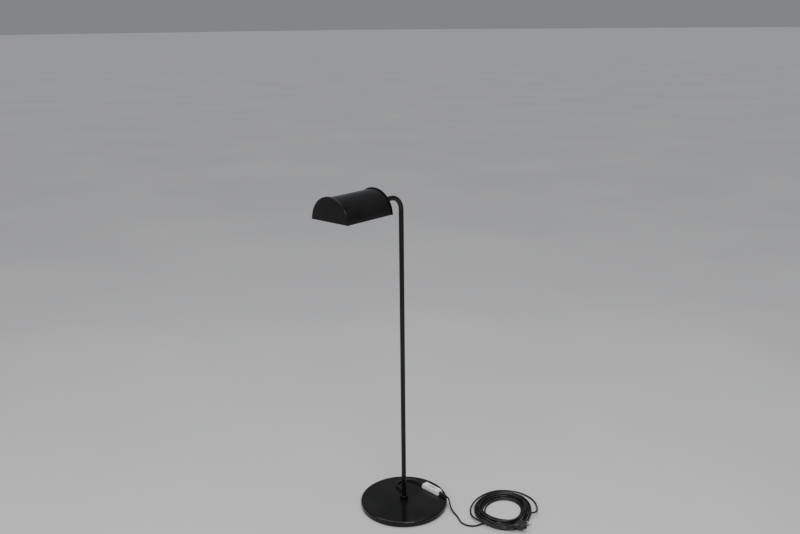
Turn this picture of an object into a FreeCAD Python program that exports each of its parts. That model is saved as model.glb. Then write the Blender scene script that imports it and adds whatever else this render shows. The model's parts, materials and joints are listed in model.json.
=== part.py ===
import FreeCAD, Part
import math
import os
import Sketcher

# Floor reading lamp: a round weighted base, a slim bent stem, a half-round shade that tilts about
# the arm, and a mains lead with an in-line slide dimmer.
# Frame: millimetres, +Z up, origin at the centre of the felt underside; the arm points along -X.

Vector = FreeCAD.Vector
doc = FreeCAD.newDocument("arm_floor_lamp")
dim = doc.addObject("Spreadsheet::Sheet", "dim")
sub_parts = []

SIZES = {
    # base disc, felt and swivel
    "fit_gap": 0.05,
    "felt_thick": 1.5,
    "felt_radius": 136,
    "base_radius": 140,
    "base_top": 17.5,
    "base_round": 4,
    "recess_radius": 45,
    "web_under": 12.5,
    "gland_hole": 5.5,
    "thread_depth": 3.5,
    "stud_radius": 5.95,
    "stud_bore": 3.5,
    "stud_top": 59,
    "stud_flange": 17,
    "flange_under": 9.5,
    "flange_screw_circle": 13,
    "flange_screw_radius": 1.95,
    "flange_screw_head": 3.4,
    "flange_screw_head_height": 1.4,
    "flange_screw_length": 6.4,
    "groove_radius": 4.75,
    "groove_width": 3.4,
    "groove_height": 24.3,
    "groove_angle": 332,
    "washer_top": 18.3,
    "clamp_along": 20,
    "clamp_screw_out": 8.5,
    "clamp_half": 11.5,
    "clamp_arch": 3,
    "clamp_roof": 3.1,
    "clamp_thick": 1.4,
    "clamp_width": 5,
    "clamp_screw_radius": 1.5,
    "clamp_screw_head": 2.8,
    "collar_radius": 13.5,
    "collar_top": 30.3,
    "collar_bevel": 1.2,
    "grub_radius": 2.5,
    "dog_radius": 1.5,
    "grub_socket": 1.25,
    "grub_socket_depth": 2.6,
    # bent stem tube
    "tube_radius": 7.5,
    "tube_bore": 6,
    "arm_height": 1018,
    "bend_radius": 42,
    "arm_end": 104,
    # tilting pivot, distances from the stem axis along the arm
    "nipple_start": 84,
    "nipple_flange_end": 109,
    "nipple_radius": 5,
    "nipple_bore": 3.2,
    "nipple_flange": 10,
    "flange_bevel": 0.8,
    "nipple_end": 139,
    "outer_washer_end": 110.5,
    "bush_end": 118,
    "bush_radius": 8,
    "bush_bore": 5.05,
    "bush_flange": 13,
    "inner_washer_end": 119.5,
    "plain_washer_end": 120.7,
    "wave_washer_end": 122.7,
    "pivot_washer": 11,
    "wave_washer": 8.6,
    "nut_end": 127.7,
    "nut_corner": 9.8,
    # shade, heights from its rim plane
    "rim_height": 991,
    "plate_radius": 70,
    "plate_thick": 3,
    "plate_round": 1.6,
    "shade_start": 113,
    "shade_end": 291,
    "barrel_radius": 66.5,
    "barrel_thick": 1,
    "seat_depth": 1,
    "reflector_radius": 59.5,
    "reflector_thick": 0.6,
    "rod_radius": 2.5,
    "rod_circle": 62.5,
    "rod_angle": 40,
    "rod_spigot": 1.5,
    "spigot_length": 2,
    "tie_hole": 1.6,
    "tie_screw_radius": 1.45,
    "tie_screw_reach": 7.5,
    "tie_screw_head": 2.9,
    "tie_screw_head_height": 1.9,
    # lamp holder and bulb, distances from the stem axis along the arm
    "holder_start": 128.5,
    "holder_end": 180,
    "holder_radius": 19,
    "holder_wall": 4.5,
    "holder_neck": 13,
    "holder_inner": 12,
    "contact_start": 146,
    "contact_end": 150,
    "cap_radius": 13.2,
    "cap_end": 178,
    "bulb_radius": 15,
    "bulb_end": 272,
    "glass_thick": 0.8,
    "glass_neck": 12.5,
    "stem_glass_radius": 3.5,
    "support_radius": 0.5,
    "support_out": 2.5,
    "filament_radius": 0.8,
    "filament_length": 7,
    # in-line dimmer, in its own frame: length along Y, height from the base's top
    "dimmer_x": 95,
    "dimmer_y": -39.5,
    "dimmer_turn": -4.47,
    "dimmer_length": 72,
    "dimmer_width": 25,
    "dimmer_height": 14.5,
    "dimmer_split": 5,
    "dimmer_wall": 1.6,
    "dimmer_taper": -14,
    "dimmer_corner": 2,
    "dimmer_edge": 1.2,
    "cover_wall": 4,
    "window_length": 46,
    "window_width": 11,
    "window_depth": 1,
    "slot_width": 3.6,
    "slot_length": 36,
    "thumb_width": 9.6,
    "thumb_length": 12,
    "thumb_thick": 3.2,
    "stalk_width": 2.8,
    "stalk_length": 10,
    "foot_width": 8,
    "board_width": 19,
    "board_length": 54,
    "board_under": 1.9,
    "board_thick": 1.6,
    "boot_height": 7,
    "boot_length": 20,
    "boot_wide": 4.8,
    "boot_narrow": 3.7,
    "boot_neck": 3.6,
    "boot_collar": 4.6,
    "boot_inside": 7,
    "cord_way": 3.7,
    # mains cord and plug
    "cord_radius": 2.8,
    "inner_cord_radius": 2.5,
    "gland_x": 27,
    "gland_y": 15.5,
    "gland_turn": 85,
    "gland_axis": 24,
    "gland_reach": 20,
    "gland_throat": 5.45,
    "gland_dome": 7,
    "gland_knee": 6.2,
    "gland_flange": 7.5,
    "gland_flange_thick": 1.8,
    "gland_wide": 5.6,
    "gland_narrow": 3.8,
    "coil_x": 175,
    "coil_y": -278,
    "coil_outer": 121,
    "coil_inner": 51,
    "coil_top": 24,
    "coil_side": 8,
    "plug_x": 114,
    "plug_y": -371,
    "plug_turn": -33,
    "plug_under": 12,
    "plug_width": 35,
    "plug_thick": 14,
    "plug_length": 36,
    "plug_neck": 6,
    "plug_shoulder": 7.5,
    "plug_straight": 14,
    "plug_edge": 2,
    "plug_entry": 4,
    "plug_boot_wide": 5.2,
    "plug_boot_collar": 3.9,
    "pin_radius": 2,
    "pin_length": 19,
    "pin_spacing": 18.6,
    "pin_root": 9,
}

# Routes of the free cord, corner points of the centre line.
FEED_ROUTE = [
    (28.74, 35.42, 24.0),
    (30.5, 55.4, 23.8),
    (43.4, 71.9, 21.6),
    (64.5, 78.3, 20.6),
    (87.2, 70.5, 20.8),
    (101.8, 44.8, 23.6),
    (99.37, 16.33, 24.5),
]
LEAD_ROUTE = [
    (90.63, -95.33, 24.5),
    (87.5, -112.0, 25.8),
    (76.0, -127.0, 25.0),
    (64.5, -140.0, 17.0),
    (57.5, -154.5, 7.0),
    (52.0, -172.0, 3.2),
    (42.5, -190.0, 3.1),
    (29.5, -207.5, 3.1),
    (26.0, -226.5, 3.1),
    (31.0, -245.0, 3.1),
    (43.5, -258.5, 3.1),
    (61.0, -265.0, 3.1),
]


def fill_sheet():
    for row, (alias, value) in enumerate(SIZES.items(), start=1):
        dim.set(f"A{row}", alias)
        dim.set(f"B{row}", str(value))
        dim.setAlias(f"B{row}", alias)
    doc.recompute()


def size(expression):
    """The number that an expression on the sheet stands for."""
    result = dim.evalExpression(expression)
    return float(getattr(result, "Value", result))


def register(part, label):
    part.Label = label
    sub_parts.append(part)
    return part


def new_body(label):
    return register(doc.addObject("PartDesign::Body", label), label)


def place(part, x="0", y="0", z="0", turn="0"):
    """Put a part at a point, turned about the vertical."""
    part.setExpression("Placement.Base.x", x)
    part.setExpression("Placement.Base.y", y)
    part.setExpression("Placement.Base.z", z)
    part.Placement.Rotation = FreeCAD.Rotation(Vector(0, 0, 1), 0)
    part.setExpression("Placement.Rotation.Axis.x", "0")
    part.setExpression("Placement.Rotation.Axis.y", "0")
    part.setExpression("Placement.Rotation.Axis.z", "1")
    part.setExpression("Placement.Rotation.Angle", turn)


def new_sketch(body, role, offset="0"):
    """A sketch on one of the body's origin planes, raised along the plane's normal."""
    sketch = body.newObject("Sketcher::SketchObject", body.Name + "_sketch")
    plane = next(item for item in body.Origin.OriginFeatures if item.Role == role)
    sketch.AttachmentSupport = [(plane, "")]
    sketch.MapMode = "FlatFace"
    sketch.setExpression("AttachmentOffset.Base.z", offset)
    return sketch


def fix_point(sketch, edge, vertex, along, across):
    """Hold a sketch point at two expressions, measured from the sketch's origin."""
    for kind, axis, expression in (("DistanceX", -2, along), ("DistanceY", -1, across)):
        if expression == "0":
            sketch.addConstraint(Sketcher.Constraint("PointOnObject", edge, vertex, axis))
            continue
        index = sketch.addConstraint(
            Sketcher.Constraint(kind, -1, 1, edge, vertex, size(expression)))
        sketch.setExpression(f"Constraints[{index}]", expression)


def add_outline(sketch, corners):
    """A closed outline of straight lines through corners given as expressions."""
    points = [Vector(size(along), size(across), 0) for along, across in corners]
    first = sketch.GeometryCount
    count = len(points)
    for i in range(count):
        sketch.addGeometry(Part.LineSegment(points[i], points[(i + 1) % count]), False)
    for i in range(count):
        following = first + (i + 1) % count
        sketch.addConstraint(Sketcher.Constraint("Coincident", first + i, 2, following, 1))
    for i, (along, across) in enumerate(corners):
        fix_point(sketch, first + i, 1, along, across)


def add_rectangle(sketch, left, right, low, high):
    add_outline(sketch, [(left, low), (right, low), (right, high), (left, high)])


def add_circle(sketch, along, across, radius):
    centre = Vector(size(along), size(across), 0)
    edge = sketch.addGeometry(Part.Circle(centre, Vector(0, 0, 1), size(radius)), False)
    index = sketch.addConstraint(Sketcher.Constraint("Radius", edge, size(radius)))
    sketch.setExpression(f"Constraints[{index}]", radius)
    if along == "0" and across == "0":
        sketch.addConstraint(Sketcher.Constraint("Coincident", edge, 3, -1, 1))
    else:
        fix_point(sketch, edge, 3, along, across)


def add_half_arc(sketch, radius):
    """A half circle over the sketch's horizontal axis."""
    circle = Part.Circle(Vector(0, 0, 0), Vector(0, 0, 1), size(radius))
    edge = sketch.addGeometry(Part.ArcOfCircle(circle, 0, math.pi), False)
    sketch.addConstraint(Sketcher.Constraint("Coincident", edge, 3, -1, 1))
    sketch.addConstraint(Sketcher.Constraint("PointOnObject", edge, 1, -1))
    sketch.addConstraint(Sketcher.Constraint("PointOnObject", edge, 2, -1))
    index = sketch.addConstraint(Sketcher.Constraint("Radius", edge, size(radius)))
    sketch.setExpression(f"Constraints[{index}]", radius)
    return edge


def join(sketch, edge_a, vertex_a, edge_b, vertex_b):
    """A straight line between two sketch points."""
    start = sketch.getPoint(edge_a, vertex_a)
    end = sketch.getPoint(edge_b, vertex_b)
    line = sketch.addGeometry(Part.LineSegment(start, end), False)
    sketch.addConstraint(Sketcher.Constraint("Coincident", line, 1, edge_a, vertex_a))
    sketch.addConstraint(Sketcher.Constraint("Coincident", line, 2, edge_b, vertex_b))


def half_disc(sketch, radius):
    arc = add_half_arc(sketch, radius)
    join(sketch, arc, 2, arc, 1)


def half_ring(sketch, outer, inner):
    large = add_half_arc(sketch, outer)
    small = add_half_arc(sketch, inner)
    join(sketch, large, 1, small, 1)
    join(sketch, large, 2, small, 2)


def revolve(body, sketch, axis="V_Axis"):
    feature = body.newObject("PartDesign::Revolution", body.Name + "_turned")
    feature.Profile = sketch
    feature.ReferenceAxis = (sketch, [axis])
    feature.Angle = 360
    doc.recompute()
    return feature


def groove(body, sketch, angle, axis="V_Axis"):
    feature = body.newObject("PartDesign::Groove", body.Name + "_groove")
    feature.Profile = sketch
    feature.ReferenceAxis = (sketch, [axis])
    feature.Midplane = True
    feature.setExpression("Angle", angle)
    return cut_done(body, feature)


def pad(body, sketch, length, taper=None, both_ways=False):
    feature = body.newObject("PartDesign::Pad", body.Name + "_pad")
    feature.Profile = sketch
    feature.setExpression("Length", length)
    feature.Midplane = both_ways
    if taper:
        feature.setExpression("TaperAngle", taper)
    doc.recompute()
    return feature


def pocket(body, sketch, depth, forward=False, both_ways=False):
    """Cut a sketch into the body, against the sketch's normal or, if forward, along it."""
    feature = body.newObject("PartDesign::Pocket", body.Name + "_pocket")
    feature.Profile = sketch
    feature.setExpression("Length", depth)
    feature.Reversed = forward
    feature.Midplane = both_ways
    return cut_done(body, feature)


def cut_done(body, feature):
    """Recompute after a cut and make sure that it removed material."""
    before = feature.BaseFeature.Shape.Volume
    doc.recompute()
    if feature.Shape.Volume > before - 0.1:
        raise RuntimeError(f"{body.Label}: {feature.Name} removed nothing")
    return feature


def polar_pattern(body, feature, sketch, count):
    pattern = body.newObject("PartDesign::PolarPattern", body.Name + "_pattern")
    pattern.Originals = [feature]
    pattern.Axis = (sketch, ["N_Axis"])
    pattern.Angle = 360
    pattern.Occurrences = count
    body.Tip = pattern
    doc.recompute()


def soften(body, radius, wanted, kind="Fillet"):
    """Round or bevel the tip's edges for which wanted(edge) holds."""
    base = body.Tip
    names = [f"Edge{i}" for i, edge in enumerate(base.Shape.Edges, start=1) if wanted(edge)]
    if not names:
        raise RuntimeError(f"{body.Label}: no edge to soften")
    feature = body.newObject("PartDesign::" + kind, body.Name + "_soft")
    feature.Base = (base, names)
    feature.setExpression("Radius" if kind == "Fillet" else "Size", radius)
    doc.recompute()


def circle_at_height(radius, height):
    """A test for a circular edge about the vertical, with this radius and height."""
    def wanted(edge):
        if not isinstance(edge.Curve, Part.Circle):
            return False
        same_radius = abs(edge.Curve.Radius - size(radius)) < 0.01
        return same_radius and abs(edge.Curve.Center.z - size(height)) < 0.01
    return wanted


def turned(label, profile, axis="V_Axis", x="0", y="0", z="0", turn="0"):
    """A body turned about the vertical, or about the arm's direction with axis H_Axis."""
    body = new_body(label)
    sketch = new_sketch(body, "XZ_Plane")
    add_outline(sketch, profile)
    revolve(body, sketch, axis)
    place(body, x, y, z, turn)
    return body


def ring_on_arm(label, start, end, inner, outer):
    """A plain ring round the arm's axis, between two distances from the stem's axis."""
    corners = [(f"-{start}", inner), (f"-{start}", outer), (f"-{end}", outer), (f"-{end}", inner)]
    return turned(label, corners, "H_Axis", z="dim.arm_height")


def cylinder(radius, height, x, y, z, direction=Vector(0, 0, 1)):
    """A solid rod between stations; every length is an expression."""
    rod = doc.addObject("Part::Cylinder", "rod")
    rod.setExpression("Radius", radius)
    rod.setExpression("Height", height)
    rod.Placement.Rotation = FreeCAD.Rotation(Vector(0, 0, 1), direction)
    rod.setExpression("Placement.Base.x", x)
    rod.setExpression("Placement.Base.y", y)
    rod.setExpression("Placement.Base.z", z)
    return rod


def fuse(name, pieces):
    joined = doc.addObject("Part::MultiFuse", name)
    joined.Shapes = pieces
    return joined


def group(label, pieces):
    """Separate solids that share one node."""
    compound = doc.addObject("Part::Compound", label)
    compound.Links = pieces
    return register(compound, label)


# --- base -------------------------------------------------------------------------------------

def make_base_plate():
    body = turned("base_plate", [
        ("dim.stud_radius + dim.fit_gap", "dim.web_under"),
        ("dim.recess_radius", "dim.web_under"),
        ("dim.recess_radius", "dim.felt_thick"),
        ("dim.base_radius - 1", "dim.felt_thick"),
        ("dim.base_radius", "dim.felt_thick + 1"),
        ("dim.base_radius", "dim.base_top"),
        ("dim.stud_radius + dim.fit_gap", "dim.base_top"),
    ])
    soften(body, "dim.base_round", circle_at_height("dim.base_radius", "dim.base_top"))
    gland_hole = new_sketch(body, "XY_Plane", "dim.base_top")
    add_circle(gland_hole, "dim.gland_x", "dim.gland_y", "dim.gland_hole")
    pocket(body, gland_hole, "dim.base_top - dim.web_under + 1")
    tapped = new_sketch(body, "XY_Plane", "dim.web_under")
    add_circle(tapped, "0", "dim.flange_screw_circle", "dim.flange_screw_radius + dim.fit_gap")
    hole = pocket(body, tapped, "dim.thread_depth", forward=True)
    polar_pattern(body, hole, tapped, 3)
    for side in (-1, 1):
        clamp_hole = new_sketch(body, "XY_Plane", "dim.web_under")
        x, y = clamp_point(side * size("dim.clamp_screw_out"))
        add_circle(clamp_hole, str(x), str(y), "dim.clamp_screw_radius + 0.1")
        pocket(body, clamp_hole, "dim.thread_depth", forward=True)


def gland_direction():
    """Unit vector from the stem's axis to the gland."""
    return Vector(size("dim.gland_x"), size("dim.gland_y"), 0).normalize()


def clamp_point(across):
    """A point of the cord clamp, this far to the side of the cable in the base's recess."""
    out = gland_direction()
    along = size("dim.clamp_along")
    return round(out.x * along - out.y * across, 3), round(out.y * along + out.x * across, 3)


def make_felt_pad():
    turned("felt_pad", [
        ("0", "0"), ("dim.felt_radius", "0"),
        ("dim.felt_radius", "dim.felt_thick"), ("0", "dim.felt_thick"),
    ])


def make_pivot_stud():
    body = turned("pivot_stud", [
        ("dim.stud_bore + 3.5", "dim.flange_under"),
        ("dim.stud_flange", "dim.flange_under"),
        ("dim.stud_flange", "dim.web_under"),
        ("dim.stud_radius", "dim.web_under"),
        ("dim.stud_radius", "dim.stud_top - 1"),
        ("dim.stud_radius - 1", "dim.stud_top"),
        ("dim.stud_bore", "dim.stud_top"),
        ("dim.stud_bore", "dim.flange_under + 4.5"),
    ])
    stop_groove = new_sketch(body, "XZ_Plane")
    add_rectangle(stop_groove, "dim.groove_radius", "dim.stud_radius + 0.5",
                  "dim.groove_height - dim.groove_width / 2",
                  "dim.groove_height + dim.groove_width / 2")
    groove(body, stop_groove, "dim.groove_angle")
    screw_hole = new_sketch(body, "XY_Plane", "dim.flange_under")
    add_circle(screw_hole, "0", "dim.flange_screw_circle", "dim.flange_screw_radius + 0.25")
    hole = pocket(body, screw_hole, "dim.web_under - dim.flange_under + 0.5", forward=True)
    polar_pattern(body, hole, screw_hole, 3)


def make_stud_screws():
    screws = []
    for i in range(3):
        angle = math.radians(90 + 120 * i)
        x = f"dim.flange_screw_circle * {round(math.cos(angle), 6)}"
        y = f"dim.flange_screw_circle * {round(math.sin(angle), 6)}"
        head = cylinder("dim.flange_screw_head", "dim.flange_screw_head_height", x, y,
                        "dim.flange_under - dim.flange_screw_head_height")
        shank = cylinder("dim.flange_screw_radius", "dim.flange_screw_length + 1", x, y,
                         "dim.flange_under - 1")
        screws.append(fuse("stud_screw", [head, shank]))
    group("stud_screws", screws)


def make_foot_washer():
    turned("foot_washer", [
        ("dim.stud_radius + 0.2", "dim.base_top"), ("dim.collar_radius - 0.5", "dim.base_top"),
        ("dim.collar_radius - 0.5", "dim.washer_top"), ("dim.stud_radius + 0.2", "dim.washer_top"),
    ])


def make_cord_clamp():
    """A saddle over the cable in the recess, under the web, and its two screws."""
    body = new_body("cord_clamp")
    sketch = new_sketch(body, "YZ_Plane", "-dim.clamp_width / 2")
    top = "dim.web_under"
    ear = "dim.web_under - dim.clamp_thick"
    inside = "dim.clamp_arch"
    outside = "(dim.clamp_arch + dim.clamp_thick)"
    roof = "dim.clamp_roof"
    under = "dim.clamp_roof - 1.2"
    add_outline(sketch, [
        ("-dim.clamp_half", top), (f"-{inside}", top), (f"-{inside}", roof), (inside, roof),
        (inside, top), ("dim.clamp_half", top), ("dim.clamp_half", ear),
        (outside, ear), (outside, under), (f"-{outside}", under),
        (f"-{outside}", ear), ("-dim.clamp_half", ear),
    ])
    pad(body, sketch, "dim.clamp_width")
    hole_sketch = new_sketch(body, "XY_Plane", "dim.web_under")
    for side in (-1, 1):
        add_circle(hole_sketch, "0", f"{side} * dim.clamp_screw_out", "dim.clamp_screw_radius + 0.2")
    pocket(body, hole_sketch, "2 * dim.clamp_thick")
    x, y = clamp_point(0)
    place(body, str(x), str(y), "0", "atan2(dim.gland_y; dim.gland_x)")
    screws = []
    for side in (-1, 1):
        x, y = clamp_point(side * size("dim.clamp_screw_out"))
        head = cylinder("dim.clamp_screw_head", "1.8", str(x), str(y),
                        "dim.web_under - dim.clamp_thick - 1.8")
        shank = cylinder("dim.clamp_screw_radius", "dim.thread_depth + dim.clamp_thick + 1.1",
                         str(x), str(y), "dim.web_under - dim.clamp_thick - 1.5")
        screws.append(fuse("clamp_screw", [head, shank]))
    group("clamp_screws", screws)


# --- stem -------------------------------------------------------------------------------------

def make_stem_tube():
    body = new_body("stem_tube")
    path = new_sketch(body, "XZ_Plane")
    foot = size("dim.washer_top")
    top = size("dim.arm_height")
    bend = size("dim.bend_radius")
    end = -size("dim.arm_end")
    riser = path.addGeometry(Part.LineSegment(Vector(0, foot, 0), Vector(0, top - bend, 0)))
    circle = Part.Circle(Vector(-bend, top - bend, 0), Vector(0, 0, 1), bend)
    turn = path.addGeometry(Part.ArcOfCircle(circle, 0, math.pi / 2))
    arm = path.addGeometry(Part.LineSegment(Vector(-bend, top, 0), Vector(end, top, 0)))
    path.addConstraint(Sketcher.Constraint("Tangent", riser, 2, turn, 1))
    path.addConstraint(Sketcher.Constraint("Tangent", turn, 2, arm, 1))
    path.addConstraint(Sketcher.Constraint("Horizontal", arm))
    fix_point(path, riser, 1, "0", "dim.washer_top")
    path.addConstraint(Sketcher.Constraint("PointOnObject", riser, 2, -2))
    fix_point(path, arm, 2, "-dim.arm_end", "dim.arm_height")
    radius = path.addConstraint(Sketcher.Constraint("Radius", turn, bend))
    path.setExpression(f"Constraints[{radius}]", "dim.bend_radius")
    section = new_sketch(body, "XY_Plane", "dim.washer_top")
    add_circle(section, "0", "0", "dim.tube_radius")
    add_circle(section, "0", "0", "dim.tube_bore")
    doc.recompute()
    pipe = body.newObject("PartDesign::AdditivePipe", "stem_tube_pipe")
    pipe.Profile = section
    pipe.Spine = path
    doc.recompute()
    screw_hole = new_sketch(body, "YZ_Plane")
    add_circle(screw_hole, "0", "dim.groove_height", "dim.dog_radius + 0.1")
    pocket(body, screw_hole, "dim.tube_radius + 1", forward=True)


def make_foot_collar():
    body = turned("foot_collar", [
        ("dim.tube_radius", "dim.washer_top"),
        ("dim.collar_radius", "dim.washer_top"),
        ("dim.collar_radius", "dim.collar_top - dim.collar_bevel"),
        ("dim.collar_radius - dim.collar_bevel", "dim.collar_top"),
        ("dim.tube_radius", "dim.collar_top"),
    ])
    screw_hole = new_sketch(body, "YZ_Plane")
    add_circle(screw_hole, "0", "dim.groove_height", "dim.grub_radius")
    pocket(body, screw_hole, "dim.collar_radius + 1", forward=True)


def make_collar_screw():
    """A grub screw whose dog point runs in the stud's stop groove."""
    turned("collar_screw", [
        ("dim.groove_radius + 0.2", "0"),
        ("dim.groove_radius + 0.2", "dim.dog_radius"),
        ("dim.tube_radius", "dim.dog_radius"),
        ("dim.tube_radius", "dim.grub_radius"),
        ("dim.collar_radius - 0.6", "dim.grub_radius"),
        ("dim.collar_radius - 0.6", "dim.grub_socket"),
        ("dim.collar_radius - 0.6 - dim.grub_socket_depth", "dim.grub_socket"),
        ("dim.collar_radius - 0.6 - dim.grub_socket_depth", "0"),
    ], "H_Axis", z="dim.groove_height")


def make_arm_nipple():
    turned("arm_nipple", [
        ("-dim.nipple_start", "dim.nipple_bore"),
        ("-dim.nipple_start", "dim.tube_bore"),
        ("-dim.arm_end", "dim.tube_bore"),
        ("-dim.arm_end", "dim.nipple_flange - dim.flange_bevel"),
        ("-dim.arm_end - dim.flange_bevel", "dim.nipple_flange"),
        ("-dim.nipple_flange_end + dim.flange_bevel", "dim.nipple_flange"),
        ("-dim.nipple_flange_end", "dim.nipple_flange - dim.flange_bevel"),
        ("-dim.nipple_flange_end", "dim.nipple_radius"),
        ("-dim.nipple_end", "dim.nipple_radius"),
        ("-dim.nipple_end", "dim.nipple_bore"),
    ], "H_Axis", z="dim.arm_height")


def make_pivot_stack():
    """Friction washers, bush, spring washer and nut that hold the shade on the nipple."""
    clear = "dim.bush_bore"
    ring_on_arm("outer_friction_washer", "dim.nipple_flange_end", "dim.outer_washer_end",
                clear, "dim.pivot_washer")
    turned("pivot_bush", [
        ("-dim.outer_washer_end", clear),
        ("-dim.outer_washer_end", "dim.bush_flange - 0.5"),
        ("-dim.shade_start + 0.5", "dim.bush_flange"),
        ("-dim.shade_start", "dim.bush_flange"),
        ("-dim.shade_start", "dim.bush_radius"),
        ("-dim.bush_end", "dim.bush_radius"),
        ("-dim.bush_end", clear),
    ], "H_Axis", z="dim.arm_height")
    ring_on_arm("inner_friction_washer", "dim.bush_end", "dim.inner_washer_end",
                clear, "dim.pivot_washer")
    ring_on_arm("thrust_washer", "dim.inner_washer_end", "dim.plain_washer_end",
                "dim.nipple_radius + dim.fit_gap", "dim.pivot_washer")
    ring_on_arm("spring_washer", "dim.plain_washer_end", "dim.wave_washer_end",
                "dim.nipple_radius + dim.fit_gap", "dim.wave_washer")


def make_pivot_nut():
    body = new_body("pivot_nut")
    sketch = new_sketch(body, "YZ_Plane")
    corners = []
    for i in range(6):
        angle = math.radians(60 * i + 30)
        corners.append((f"dim.nut_corner * {round(math.cos(angle), 6)}",
                        f"dim.nut_corner * {round(math.sin(angle), 6)}"))
    add_outline(sketch, corners)
    add_circle(sketch, "0", "0", "dim.nipple_radius + 0.02")
    pad(body, sketch, "dim.nut_end - dim.wave_washer_end")
    place(body, "-dim.nut_end", "0", "dim.arm_height")


# --- shade ------------------------------------------------------------------------------------

def rod_point(side):
    """Where a tie rod meets an end plate, as expressions from the shade's centre."""
    across = f"{side} * dim.rod_circle * sin(dim.rod_angle * 1deg)"
    return across, "dim.rod_circle * cos(dim.rod_angle * 1deg)"


def end_plate(label, inner_face, turn):
    """A half-round plate, its inner face at local x = 0, grooved for the barrel's edge."""
    body = new_body(label)
    face = new_sketch(body, "YZ_Plane")
    half_disc(face, "dim.plate_radius")
    pad(body, face, "dim.plate_thick")
    outer = size("dim.plate_thick")
    soften(body, "dim.plate_round", lambda edge: all(abs(v.X - outer) < 0.01 for v in edge.Vertexes))
    seat = new_sketch(body, "YZ_Plane")
    half_ring(seat, "dim.barrel_radius + 0.1", "dim.barrel_radius - dim.barrel_thick - 0.1")
    pocket(body, seat, "dim.seat_depth + dim.fit_gap", forward=True)
    place(body, inner_face, "0", "dim.rim_height", turn)
    return body


def make_front_plate():
    body = end_plate("front_plate", "-dim.shade_end + dim.plate_thick", "180")
    for side in (-1, 1):
        spigot_hole = new_sketch(body, "YZ_Plane")
        across, up = rod_point(side)
        add_circle(spigot_hole, across, up, "dim.tie_hole")
        pocket(body, spigot_hole, "dim.spigot_length + 0.1", forward=True)


def make_rear_plate():
    body = end_plate("rear_plate", "-dim.shade_start - dim.plate_thick", "0")
    bush_hole = new_sketch(body, "YZ_Plane")
    add_circle(bush_hole, "0", "dim.arm_height - dim.rim_height", "dim.bush_radius")
    pocket(body, bush_hole, "dim.plate_thick + 1", forward=True)
    for side in (-1, 1):
        screw_hole = new_sketch(body, "YZ_Plane")
        across, up = rod_point(side)
        add_circle(screw_hole, across, up, "dim.tie_hole")
        pocket(body, screw_hole, "dim.plate_thick + 1", forward=True)


def make_barrel():
    body = new_body("shade_barrel")
    ring = new_sketch(body, "YZ_Plane")
    half_ring(ring, "dim.barrel_radius", "dim.barrel_radius - dim.barrel_thick")
    pad(body, ring, "dim.shade_end - dim.shade_start - 2 * dim.plate_thick + 2 * dim.seat_depth")
    place(body, "-dim.shade_end + dim.plate_thick - dim.seat_depth", "0", "dim.rim_height")


def make_reflector():
    body = new_body("reflector")
    ring = new_sketch(body, "YZ_Plane")
    half_ring(ring, "dim.reflector_radius", "dim.reflector_radius - dim.reflector_thick")
    length = "dim.shade_end - dim.shade_start - 2 * dim.plate_thick"
    pad(body, ring, length)
    hem_edge = "dim.barrel_radius - dim.barrel_thick - 0.2"
    hems = new_sketch(body, "YZ_Plane")
    inner = "dim.reflector_radius - dim.reflector_thick"
    add_rectangle(hems, inner, hem_edge, "0", "dim.reflector_thick")
    add_rectangle(hems, f"-({hem_edge})", f"-({inner})", "0", "dim.reflector_thick")
    pad(body, hems, length)
    place(body, "-dim.shade_end + dim.plate_thick", "0", "dim.rim_height")


def make_tie_rods():
    rods = []
    screws = []
    towards_stem = Vector(1, 0, 0)
    for side in (-1, 1):
        across, up = rod_point(side)
        height = f"dim.rim_height + {up}"
        front = "-dim.shade_end + dim.plate_thick"
        length = "dim.shade_end - dim.shade_start - 2 * dim.plate_thick"
        rod = cylinder("dim.rod_radius", length, front, across, height, towards_stem)
        spigot = cylinder("dim.rod_spigot", "2 * dim.spigot_length", f"{front} - dim.spigot_length",
                          across, height, towards_stem)
        joined = fuse("tie_rod_blank", [rod, spigot])
        inner_face = "-dim.shade_start - dim.plate_thick"
        bore = cylinder("dim.tie_screw_radius + dim.fit_gap", "dim.tie_screw_reach + 0.5",
                        f"{inner_face} - dim.tie_screw_reach - 0.5", across, height, towards_stem)
        drilled = doc.addObject("Part::Cut", "tie_rod")
        drilled.Base = joined
        drilled.Tool = bore
        rods.append(drilled)
        shank = cylinder("dim.tie_screw_radius", "dim.plate_thick + dim.tie_screw_reach",
                         f"{inner_face} - dim.tie_screw_reach", across, height, towards_stem)
        head = cylinder("dim.tie_screw_head", "dim.tie_screw_head_height", "-dim.shade_start",
                        across, height, towards_stem)
        screws.append(fuse("tie_screw", [shank, head]))
    group("tie_rods", rods)
    group("tie_screws", screws)


# --- lamp holder and bulb ---------------------------------------------------------------------

def make_lamp_holder():
    turned("lamp_holder", [
        ("-dim.holder_start", "dim.nipple_radius + dim.fit_gap"),
        ("-dim.holder_start", "dim.holder_neck"),
        ("-dim.holder_start - 1.5", "dim.holder_neck + 1.5"),
        ("-dim.holder_start - 10", "dim.holder_radius - 0.8"),
        ("-dim.holder_start - 12", "dim.holder_radius"),
        ("-dim.holder_end + 1", "dim.holder_radius"),
        ("-dim.holder_end", "dim.holder_radius - 1"),
        ("-dim.holder_end", "dim.holder_radius - dim.holder_wall"),
        ("-dim.contact_end", "dim.holder_radius - dim.holder_wall"),
        ("-dim.contact_end", "dim.holder_inner"),
        ("-dim.nipple_end - 0.5", "dim.holder_inner"),
        ("-dim.nipple_end - 0.5", "dim.nipple_radius + dim.fit_gap"),
    ], "H_Axis", z="dim.arm_height")


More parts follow.
